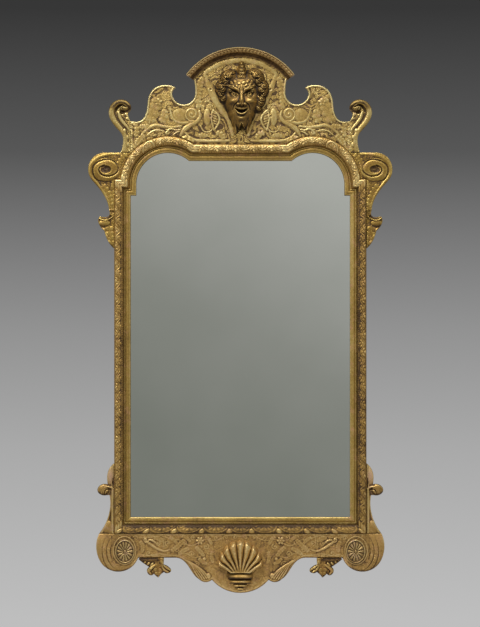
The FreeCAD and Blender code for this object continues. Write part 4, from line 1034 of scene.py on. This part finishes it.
def scroll_grime_and_shade(x, z):
    """The roll is brown over its top, and its hollow gets painted shade, with one line rubbed bright along it."""
    x = np.abs(x)
    roll = 1.3 * climb(np.hypot(x - 296, z - 562), 12, 6) * climb(z, 561, 9)
    rub = 0.9 * np.exp(-(((np.hypot(x - 297, z - 561) - 17) / 1.6) ** 2)) * climb(z, 566, 4)
    # painted shade in the hollow under the roll
    return roll - rub + 0.9 * spot(x, z, 290, 564, 13, 9)


scroll_gilding = gilding(
    "water-gilt gesso, scrolls", dark="3f2a0c", mid="a28645", light="dcc684", toning=1.1, rub=0.4, tendrils=0.5
)
piece = carve(blank("crest_scroll_right", 1.0, cut_at=SCROLL_FACE), scroll.at, SCROLL_FACE, grime_and_shade=scroll_grime_and_shade)
dress_pair(piece, "crest_scroll", scroll_gilding, pine_back)


# Ears at the shoulders: shaped pine boards with an oval volute cut by one winding groove round an eye darkened with
# painted shade.
# Its rim runs on down the hollow side, with cut tendrils in the neck and by the arch. A glue block backs each ear.

ear = Carving(270, 384, 305, 460)
ear.dome(336.5, 413, 36, 30, 4.2)
ear.stroke(
    [(300, 452), (330, 451), (356, 443), (374, 424), (375, 402), (362, 384), (346, 364), (334, 344), (325, 320)],
    [5, 8, 10, 11, 10, 7, 6, 4], [1.0, 1.8, 2.2, 2.2, 2.0, 2.0, 1.4],
)
ear.stroke(
    [(330, 383), (337, 384), (358, 387), (368, 404), (367, 422), (353, 434), (331, 439), (313, 432), (305, 418),
     (310, 405), (327, 397), (345, 400), (353, 411), (350, 419), (340, 424)],
    [1.6, 2.8, 3.2, 3.2, 3.4, 3.6, 3.6], [0.8, 2.4, 3.0, 3.2, 3.4, 4.0, 4.0], how="cut",
)
ear.dome(336.5, 414, 14, 9.5, 5.2, how="cut")
ear.dome(334.5, 412.5, 6, 3.6, 2.0, how="add")
ear.leaf([(345, 376), (334, 360), (326, 340), (321, 316)], 15, 1.5, 6)
ear.leaf([(284, 452), (297, 441), (304, 424), (303, 404)], 12, 1.6, 6)
ear.leaf([(312, 390), (318, 380), (320, 364)], 9, 1.4, 4)
ear.leaf([(310, 447), (322, 446), (334, 446)], 7, 1.2, 3)
ear.soften(0.55)
ear_gilding = gilding("water-gilt gesso, ears", dark="3e290a", mid="8f6f2f", light="ceb062", rub=0.4, tendrils=0.6)


def ear_shade_and_tone(x, z):
    """Painted shade makes the eye of the volute dark brown, and the inner turn of its groove too. The neck below it
    is bright.
    """
    eye = 1.1 * spot(x, z, 337, 413.5, 12, 8.5, power=4)
    return eye + 0.38 * spot(x, z, 332, 416, 32, 26) - 0.22 * climb(-z, -372, 20)


piece = carve(blank("ear_right", 1.1, cut_at=BOARD_FACE), ear.at, BOARD_FACE, grime_and_shade=ear_shade_and_tone)
dress_pair(piece, "ear", ear_gilding, pine_back)


# Leaf under each ear: a block carved as an acanthus leaf whose top lip rolls over.
# Glued to the side of the stile and gilded like the ear above it.

LEAF_FACE = 34.0
lip = Carving(312, 360, 212, 314)
lip.dome(340, 280, 15, 9, 4.6)
lip.leaf([(328, 274), (327, 256), (322, 238), (317, 220)], 22, 2.6, 4)
for x, z in ((342, 262), (335, 247), (327, 232)):
    lip.dome(x, z, 5.5, 7, 3.0, turn=-40)
lip.stroke(
    [(319, 296), (327, 291), (336, 287), (345, 288), (353, 292)], [3, 4.4, 5, 4.6, 3], [3.4, 4.6, 5.6, 5.4, 3.6],
)
lip.dome(334, 296, 13, 6, 4.5, how="cut")
lip.soften(0.5)


def lip_painted_shade(x, z):
    """Painted shade in the hollow of the lip and under its roll."""
    return 0.7 * spot(x, z, 334, 296, 11, 4) + 0.6 * spot(x, z, 342, 273, 13, 5)


piece = carve(blank("ear_leaf_right", 0.9), lip.at, LEAF_FACE, grime_and_shade=lip_painted_shade)
dress_pair(piece, "ear_leaf", ear_gilding, pine_back)


# Base brackets: pine brackets on the sides of the stiles, a worn bulge above a curled knob and a leaf to the foot.
# The gesso on the bulge is rubbed bare and pinkish.

BRACKET_FACE = 30.0
KNOB_Z, KNOB_FLATTER = -387.5, 0.21
bracket = Carving(312, 362, -500, -318)
bracket.stroke([(318, -320), (319, -400), (319, -498)], [9, 9, 9], [3.0, 4.6, 5.0])
bracket.dome(326, -350, 9, 26, 4.4)
bracket.stroke([(317.5, -358), (318, -370), (317.5, -382)], [3, 5.5, 3], [3.0, 6.0, 3.0], how="cut")
bracket.dome(343, -386, 14, 14, 6.5)
bracket.stroke(
    [(319, -384), (328, -380), (338, -381), (346, -390), (347, -399)], [4, 6, 6, 5, 3], [3.4, 5.0, 6.5, 7.0, 6.0],
)
bracket.stroke(
    [(322, -388), (331, -386), (338, -389), (341, -398)], [2.0, 2.8, 2.8, 2.0], [2.0, 3.6, 4.2, 3.0], how="cut",
)
bracket.stroke([(325, -404), (328, -440), (336, -466), (346, -492)], [5, 7, 9, 12], [1.2, 2.0, 3.0, 4.0])
bracket.dome(330, -486, 16, 22, 4.6)
bracket.soften(0.55)
bracket_gilding = gilding(
    "water-gilt gesso, brackets", dark="48300f", mid="aa8648", light="dabc7a",
    rub=0.6, rub_colour="b08a76", tendrils=0.3,
)


def bracket_grime_and_light(x, z):
    """Brown in the joint with the apron, over the knob and round the bulge, and painted shadow in the slit beside it.
    The bulge itself is bare, and the strip along the stile below the knob gets painted light against the shadow of
    the moulding."""
    x = np.abs(x)
    joint = 0.4 * climb(-z, 490, 7)
    knob = 0.5 * climb(x, 328, 8) * (np.abs(z + 386) < 20)
    bulge = 0.9 * spot(x, z, 325, -346, 6, 20)
    rim = 0.7 * climb(x, 334, 4) * (z > -372)
    # painted shadow in the slit
    slit_shadow = 1.2 * spot(x, z, 317, -370, 4, 11)
    # painted light on the strip, which lies in the shadow of the moulding
    strip_painted_light = 0.9 * climb(-x, -326, 6) * climb(-z, 400, 8)
    return joint + knob - bulge + rim + slit_shadow - strip_painted_light


piece = blank("base_bracket_right", 0.9)
# the knob is carved flatter than its blank
points = points_of(piece.data)
above = points[:, 2] - KNOB_Z
points[:, 2] -= KNOB_FLATTER * climb(points[:, 0], 326, 8) * climb(-np.abs(above), -24, 6) * above
move_points(piece.data, points)
carve(piece, bracket.at, BRACKET_FACE, fade=0.5, grime_and_shade=bracket_grime_and_light)
points = points_of(piece.data)
put_attribute(piece.data, "bare", 0.8 * spot(points[:, 0], points[:, 2], 325, -352, 8, 18))
dress_pair(piece, "base_bracket", bracket_gilding, pine_back)


# Apron: a fretted board glued over the bottom rail, with round lobes at its ends and a roundel in the middle.
# Scrolls, leaves and small flowers on a ground of cut tendrils, reeded leaf tips on the cusps beside the roundel.
# The lobes are rounded over towards their edge and ringed by fine cut lines.

BOSS_X, BOSS_Z, BOSS_WIDE, BOSS_TALL = 288.5, -541.0, 25.0, 30.5
apron = Carving(0, 366, -650, -494)
for wide, tall, first, last in ((36, 41, -1.5, 1.2), (46, 52, -1.6, 1.0), (57, 64, -1.4, 0.8)):
    ring = [(BOSS_X + wide * math.cos(a), BOSS_Z + tall * math.sin(a)) for a in np.linspace(first, last, 40)]
    apron.stroke(ring, [1.2, 3.2, 1.2], [0.1, 1.3, 0.1], how="cut")
# a thin ring stands round the boss
ring = [(289.5 + 28 * math.cos(a), -538.5 + 34.5 * math.sin(a)) for a in np.linspace(0, 2 * math.pi, 60)]
apron.stroke(ring, [2.6], [1.5])
apron.stroke(
    [(240, -505), (234, -516), (222, -525), (206, -535), (190, -540), (176, -536)], [3, 6, 7, 6, 5, 3],
    [1.0, 1.6, 1.8, 1.6, 1.0], reeds=2,
)
apron.stroke([(228, -512), (219, -514), (211, -520)], [4, 5, 3], [1.6, 2.0, 1.2])
apron.spiral(236, -512, 6, 1.1, 200, 3.0, 2.2)
apron.leaf([(216, -507), (203, -509), (190, -518)], 12, 1.2, 6)
apron.leaf([(250, -514), (244, -530), (247, -546)], 11, 1.1, 6)
for x in (189, 193):
    apron.stroke([(x, -503), (x - 1, -520), (x, -532)], [1.6, 1.8, 1.4], [1.0, 1.4, 0.8])
apron.leaf([(172, -541), (153, -525), (136, -507)], 12, 1.3, 8)
apron.leaf([(178, -506), (166, -512), (156, -524)], 9, 1.1, 6)
apron.leaf([(154, -548), (140, -538), (124, -532)], 11, 1.2, 7)
apron.leaf([(146, -502), (134, -507), (122, -519)], 9, 1.1, 6)
apron.flower(101, -514, 6.0, 6, 0, 4.4, 3.0, 1.9)
apron.dome(101, -514, 2.8, 2.8, 2.4)
apron.leaf([(112, -530), (101, -540), (88, -556)], 11, 1.3, 7)
apron.leaf([(87, -503), (77, -512), (70, -528)], 9, 1.2, 6)
apron.leaf([(104, -558), (93, -568), (80, -572)], 10, 1.2, 6)
apron.leaf([(70, -540), (72, -556), (66, -574)], 9, 1.1, 6)
# thin stems that curl between the leaves
for x, z, size, start in (
    (262, -508, 6, 20), (229, -545, 7, 200), (206, -521, 6, 90), (181, -520, 6, 300), (160, -536, 6, 150),
    (140, -520, 6, 60),
    (118, -506, 6, 240), (121, -547, 7, 330), (86, -529, 7, 120), (108, -572, 6, 45), (60, -507, 6, 200),
    (36, -506, 6, 320), (14, -505, 5, 90),
):
    apron.spiral(x, z, size, 1.3, start, 1.8, 1.1)
apron.stroke(
    [(262, -503), (246, -506), (225, -505), (196, -502), (178, -508), (150, -513), (128, -526), (112, -523),
     (92, -511), (60, -513), (30, -501), (0, -503)],
    [1.6, 1.8, 1.6], [0.9, 1.1, 0.9],
)
apron.stroke(
    [(250, -548), (226, -551), (204, -547), (180, -550), (160, -551), (136, -546), (116, -556), (96, -552)],
    [1.6, 1.8, 1.6], [0.9, 1.1, 0.9],
)
for reed in range(5):
    aside = reed * 8.5
    apron.stroke(
        [(137 - aside * 0.28, -562 - reed * 0.8), (123 - aside * 0.42, -575 - reed * 0.6),
         (113 - aside * 0.66, -592), (101 - aside * 0.66, -611 + reed * 1.0)],
        [2, 3.2, 4.6, 4], [1.0, 2.4, 3.6, 3.0],
    )
apron.dome(80, -602, 6, 7, 2.6)
apron.dome(90, -560, 4, 4, 1.6)
apron.soften(0.55)
apron_gilding = gilding(
    "water-gilt gesso, apron", dark="4c3310", mid="b28c4e", light="dfc084", rub=0.55, tendrils=0.4
)


def apron_height(x, z, edge):
    """The drawing, with the lobes rounded over for 18 mm in from their edge and eased back to the brackets above.
    The lower edge is rounded over too, for 4.5 mm."""
    x = np.abs(x)
    lobe = climb(x, 268, 14) * climb(-z, 510, 30)
    neck = climb(x, 306, 16) * climb(z, -535, 38) ** 2
    under = climb(-z, 542, 8) * np.clip(1 - edge / 4.5, 0, 1) ** 2
    drawing = apron.at(x, z) * np.clip(edge / 1.5, 0, 1)
    return drawing - 3.4 * lobe * np.clip(1 - edge / 18, 0, 1) ** 2 - 5.0 * neck - 3.0 * under * (1 - lobe)


def apron_grime(x, z):
    """Brown in the joint with the brackets, a little darker on the lobes and brighter between them."""
    x = np.abs(x)
    return 0.26 * climb(x, 255, 20) - 0.08 + 0.4 * climb(x, 306, 10) * climb(z, -504, 7)


piece = carve(blank("apron_board", 1.25), apron_height, BOARD_FACE, fade=0.8, grime_and_shade=apron_grime)
dress(piece, "apron_board", apron_gilding, pine_back)


# Bosses on the apron lobes: oval paterae, a thin ring round a dish punched with a flower.
# Turned and carved from thin blocks, and rubbed pinkish.

BOSS_FACE = 39.6
boss_gilding = gilding(
    "water-gilt gesso, bosses", dark="42301a", mid="967645", light="d6bc80", rub=1.0, rub_colour="a07d68"
)


def boss_height(x, z, edge):
    """A ring, fourteen petals and an eye."""
    dx, dz = (x - BOSS_X) / BOSS_WIDE, (z - BOSS_Z) / BOSS_TALL
    q, angle = np.hypot(dx, dz), np.arctan2(dz, dx)
    ring = 3.6 * bow(((q - 0.91) / 0.08) ** 2)
    petals = 3.0 * bow(((q - 0.5) / 0.37) ** 2) * (0.1 + 0.9 * np.abs(np.cos(7 * angle)) ** 0.6)
    eye = 2.2 * bow((q / 0.15) ** 2)
    return np.maximum.reduce([ring, petals, eye])


piece = carve(blank("boss_right", 0.7, cut_at=BOSS_FACE), boss_height, BOSS_FACE)
dress_pair(piece, "boss", boss_gilding, pine_back)


# Shell in the middle of the apron: a scallop of nine ribs over a stepped foot of four rolls.
# Carved from one block, screwed on from behind, with burnished ribs.

SHELL_FOCUS, SHELL_BASE, SHELL_RIBS = -622.0, -594.0, 9
# half width, top, foot and height of each roll
SHELL_ROLLS = (
    (31.5, -595.0, -610.5, 18.0), (28.0, -610.5, -621.5, 14.0), (17.5, -621.5, -630.5, 10.5),
    (8.5, -630.5, -638.5, 7.5),
)
shell = Carving(-66, 66, -646, -506, 0.55)
x, z = shell.x, shell.z - SHELL_FOCUS
radius = np.hypot(x, z)
# the ribs rise from a wide neck and the outer ones bend outwards like flames
turn = np.degrees(np.arctan2(x, z)) / (40 + 12 * climb(radius, 35, 35))
# each rib has its crest towards the middle and falls away outwards
share = (np.abs(turn) * SHELL_RIBS / 2 + 0.5) % 1
near, far = np.sin(share / 0.4 * math.pi / 2), np.cos((share - 0.4) / 0.6 * math.pi / 2)
rib = np.where(share < 0.4, near, far) ** 0.7
rim = 71 + 35 * np.cos(np.clip(turn, -1, 1) * math.pi / 2) ** 1.2 + 3.5 * rib
q = radius / rim
body = 13 + 11 * np.sin(climb(radius, 20, rim - 20) * math.pi * 0.8)
# the ribs run together towards the foot
fan = body * (1 - 0.36 * (1 - rib) * np.clip((radius - 30) / 25, 0.12, 1))
fan = fan * np.sqrt(np.clip((1 - q) / 0.08, 0, 1))
shell.height = np.where((np.abs(turn) < 1.0) & (q < 1) & (shell.z > SHELL_BASE), np.maximum(fan, 1.0), 0)
shell.soften(0.5)
for half, top, foot, high in SHELL_ROLLS:
    level = bow(((shell.z - (top + foot) / 2) / (top - foot) * 2) ** 2)
    shell.height = np.maximum(shell.height, high * level * bow((shell.x / half) ** 4))
shell.soften(0.3)
shell_gilding = gilding(
    "burnished water gilding, shell", dark="3c250a", mid="ba934e", light="f0d69a", toning=1.2, rub=0.25
)


def shell_foot_tone(x, z):
    """The foot is darker than the fan, most of all at its sides."""
    return climb(SHELL_BASE - z, 0, 6) * (0.28 + 0.4 * climb(np.abs(x), 12, 16))


dress(raised("gilt_shell", shell, grime_and_shade=shell_foot_tone), "shell", shell_gilding)


# Leaf sprays under the apron: thin carved leaves with one long feathered arm and curled tips.
# Glued behind the lower edge of the apron.

spray = Carving(168, 262, -612, -550)
spray.stroke([(196, -561), (216, -563), (236, -563), (253, -561)], [8, 9, 7, 4], [2.2, 3.0, 2.6, 1.6])
for x, z, size in ((221, -574, 7), (230, -572, 6.5), (239, -569, 5.5), (246, -565, 4.5)):
    spray.dome(x, z, size, size * 0.5, 3.2, turn=-50)
spray.leaf([(205, -558), (205, -574), (206, -590), (205, -605)], 22, 3.2, 4)
spray.stroke([(214, -576), (222, -582), (229, -590), (224, -598)], [7, 9, 9, 6], [3.2, 4.6, 4.8, 3.6])
spray.stroke([(218, -584), (223, -590), (221, -596)], [1.6, 2.2, 1.6], [1.8, 2.6, 1.8], how="cut")
spray.stroke([(198, -566), (191, -577), (183, -583), (175, -587)], [10, 11, 9, 6], [3.4, 4.6, 4.6, 3.2])
spray.stroke([(197, -576), (189, -588), (181, -593)], [8, 9, 7], [3.0, 4.4, 4.2])
spray.stroke([(196, -572), (188, -584), (179, -590)], [1.6, 2.2, 1.6], [1.8, 2.8, 1.8], how="cut")
spray.soften(0.5)
spray_gilding = gilding(
    "water-gilt gesso, sprays", dark="3f280c", mid="9a7436", light="d2b672", toning=1.2, rub=0.7, rub_colour="a4683a"
)


def spray_painted_shadow(x, z):
    """Painted shadow under the edge of the apron."""
    return 1.2 * climb(z, -568, 6) * climb(np.abs(x), 196, 10)


piece = carve(blank("apron_leaf_right", 0.7), spray.at, LEAF_FACE, grime_and_shade=spray_painted_shadow)
dress_pair(piece, "apron_leaf", spray_gilding, pine_back)


# Back of the plate: three backboards side by side, nailed over the carcass.
# Rough-sawn pine, darker than the frame, with the nail heads flush.

board_back = old_pine("rough-sawn pine, backboards", "Z", light="8f6b40", dark="533719")
finish_nodes(board_back, "backboard_left", "backboard_centre", "backboard_right")


# Fixings and hangers: nails, screws, two strap plates and the two rings that swing in them.
# Wrought and drawn iron, brown-black with old rust and rubbed grey where it is handled.

iron, tree, shader, place = new_material("wrought iron, rusted")
rust = noise(tree, place, 240.0, 5.0, 0.65)
feed(shader, {
    "Base Color": ramp(tree, rust, (0.38, "3a3632"), (0.66, "6b4128")),
    "Metallic": spread(tree, rust, 0.4, 0.65, 0.85, 0.25),
    "Roughness": spread(tree, rust, 0.4, 0.65, 0.42, 0.75),
    "Normal": node(tree, "Bump", {"Height": rust, "Strength": 0.4, "Distance": 0.0004}).outputs[0],
})
finish_nodes(iron, "backboard_nails", "batten_screws", "ornament_screws", "hanger_screws")
finish_nodes(iron, *both("hanger_strap", "hanger_ring"))


# Stage: a pale floor below the hanging mirror, a grey backdrop that is darker towards the top,
# soft lamps from above and the sides, and the card that the plate reflects.

bpy.ops.object.select_all(action="DESELECT")
bpy.ops.mesh.primitive_circle_add(vertices=96, radius=2.6, fill_type="NGON", location=(0, -0.1, -0.8))
floor = bpy.context.active_object
floor.name = "stage_floor"
paper, tree, shader, place = new_material("pale paper floor")
feed(shader, {"Base Color": linear("ededed"), "Roughness": 0.9})
# the floor fades out a little way from the mirror
far = node(tree, "VectorMath", {0: place}, operation="LENGTH").outputs["Value"]
fade = spread(tree, far, 0.25, 0.58, 0.0, 1.0, interpolation_type="SMOOTHSTEP")
clear = node(tree, "BsdfTransparent").outputs[0]
faded = node(tree, "MixShader", {0: fade, 1: shader.outputs[0], 2: clear}).outputs[0]
feed(tree.nodes["Material Output"], {"Surface": faded})
floor.data.materials.append(paper)

bpy.ops.object.select_all(action="DESELECT")
bpy.ops.mesh.primitive_plane_add(size=1, location=(0, -9.0, 0.1), rotation=(math.radians(-90), 0, 0))
card = bpy.context.active_object
card.name = "stage_card"
card.scale = (4.4, 5.2, 1)
card.visible_camera = card.visible_diffuse = card.visible_shadow = False
grey, tree, shader, place = new_material("grey card, lighter at the top")
tree.nodes.remove(shader)
apart = node(tree, "SeparateXYZ", {0: place}).outputs
up, across = calc(tree, "MULTIPLY", apart["Y"], -1.0), calc(tree, "MULTIPLY", apart["X"], 0.45)
slant = spread(tree, calc(tree, "ADD", up, across), -0.3, 0.3, 0.0, 1.0)
tones = ramp(tree, slant, (0.15, "8e918c"), (0.83, "c9cac8"), (0.45, "9fa19d"), (0.74, "bdbebc"))
glow = node(tree, "Emission", {"Color": tones, "Strength": 1.0}).outputs[0]
feed(tree.nodes["Material Output"], {"Surface": glow})
card.data.materials.append(grey)

world = bpy.data.worlds.new("studio")
bpy.context.scene.world = world
world.use_nodes = True
tree = world.node_tree
tree.nodes.clear()
look = node(tree, "SeparateXYZ", {0: node(tree, "TexCoord").outputs["Generated"]}).outputs
# behind the mirror the grey backdrop shades from dark above to pale below, and in front of it lies the light room
backdrop = ramp(
    tree, spread(tree, look["Z"], -0.14, 0.14, 0.0, 1.0),
    (0.05, "bebebe"), (0.95, "373737"), (0.30, "a9a9a9"), (0.475, "929292"), (0.74, "575757"),
)
room = blend(tree, spread(tree, look["Y"], 0.1, 0.5, 0.0, 1.0), linear("acacaa"), backdrop)
sky = node(tree, "Background", {"Color": room, "Strength": 1.0}).outputs[0]
node(tree, "OutputWorld", {"Surface": sky})

LAMPS_AIM = Vector((0, 0, 0.05))
for name, at, size, watts in (
    ("key", (-1.5, -2.6, 2.6), 1.4, 78.0),
    ("fill", (2.4, -3.0, 0.6), 1.8, 26.0),
    ("top", (0.1, -0.9, 2.4), 1.2, 30.0),
):
    lamp = bpy.data.lights.new("lamp_" + name, "AREA")
    lamp.size = size
    lamp.energy = watts
    holder = bpy.data.objects.new("lamp_" + name, lamp)
    bpy.context.scene.collection.objects.link(holder)
    holder.location = at
    holder.rotation_euler = (LAMPS_AIM - Vector(at)).to_track_quat("-Z", "Y").to_euler()
    holder.visible_glossy = name != "fill"

# the picture is 480 by 627 and shows 1.5675 m from top to bottom at the front of the frame
CAMERA_AWAY, FRAME_FRONT, VIEW_HEIGHT, FILM_HEIGHT = 6.0, 0.036, 1.5675, 24.0
camera_data = bpy.data.cameras.new("camera")
camera = bpy.data.objects.new("camera", camera_data)
bpy.context.scene.collection.objects.link(camera)
camera_data.sensor_fit = "VERTICAL"
camera_data.sensor_height = FILM_HEIGHT
camera_data.lens = FILM_HEIGHT * CAMERA_AWAY / VIEW_HEIGHT
camera.location = (-0.0008, -CAMERA_AWAY - FRAME_FRONT, 0.0538)
camera.rotation_euler = (math.radians(90), 0, 0)
bpy.context.scene.camera = camera
bpy.context.scene.view_settings.view_transform = "Standard"
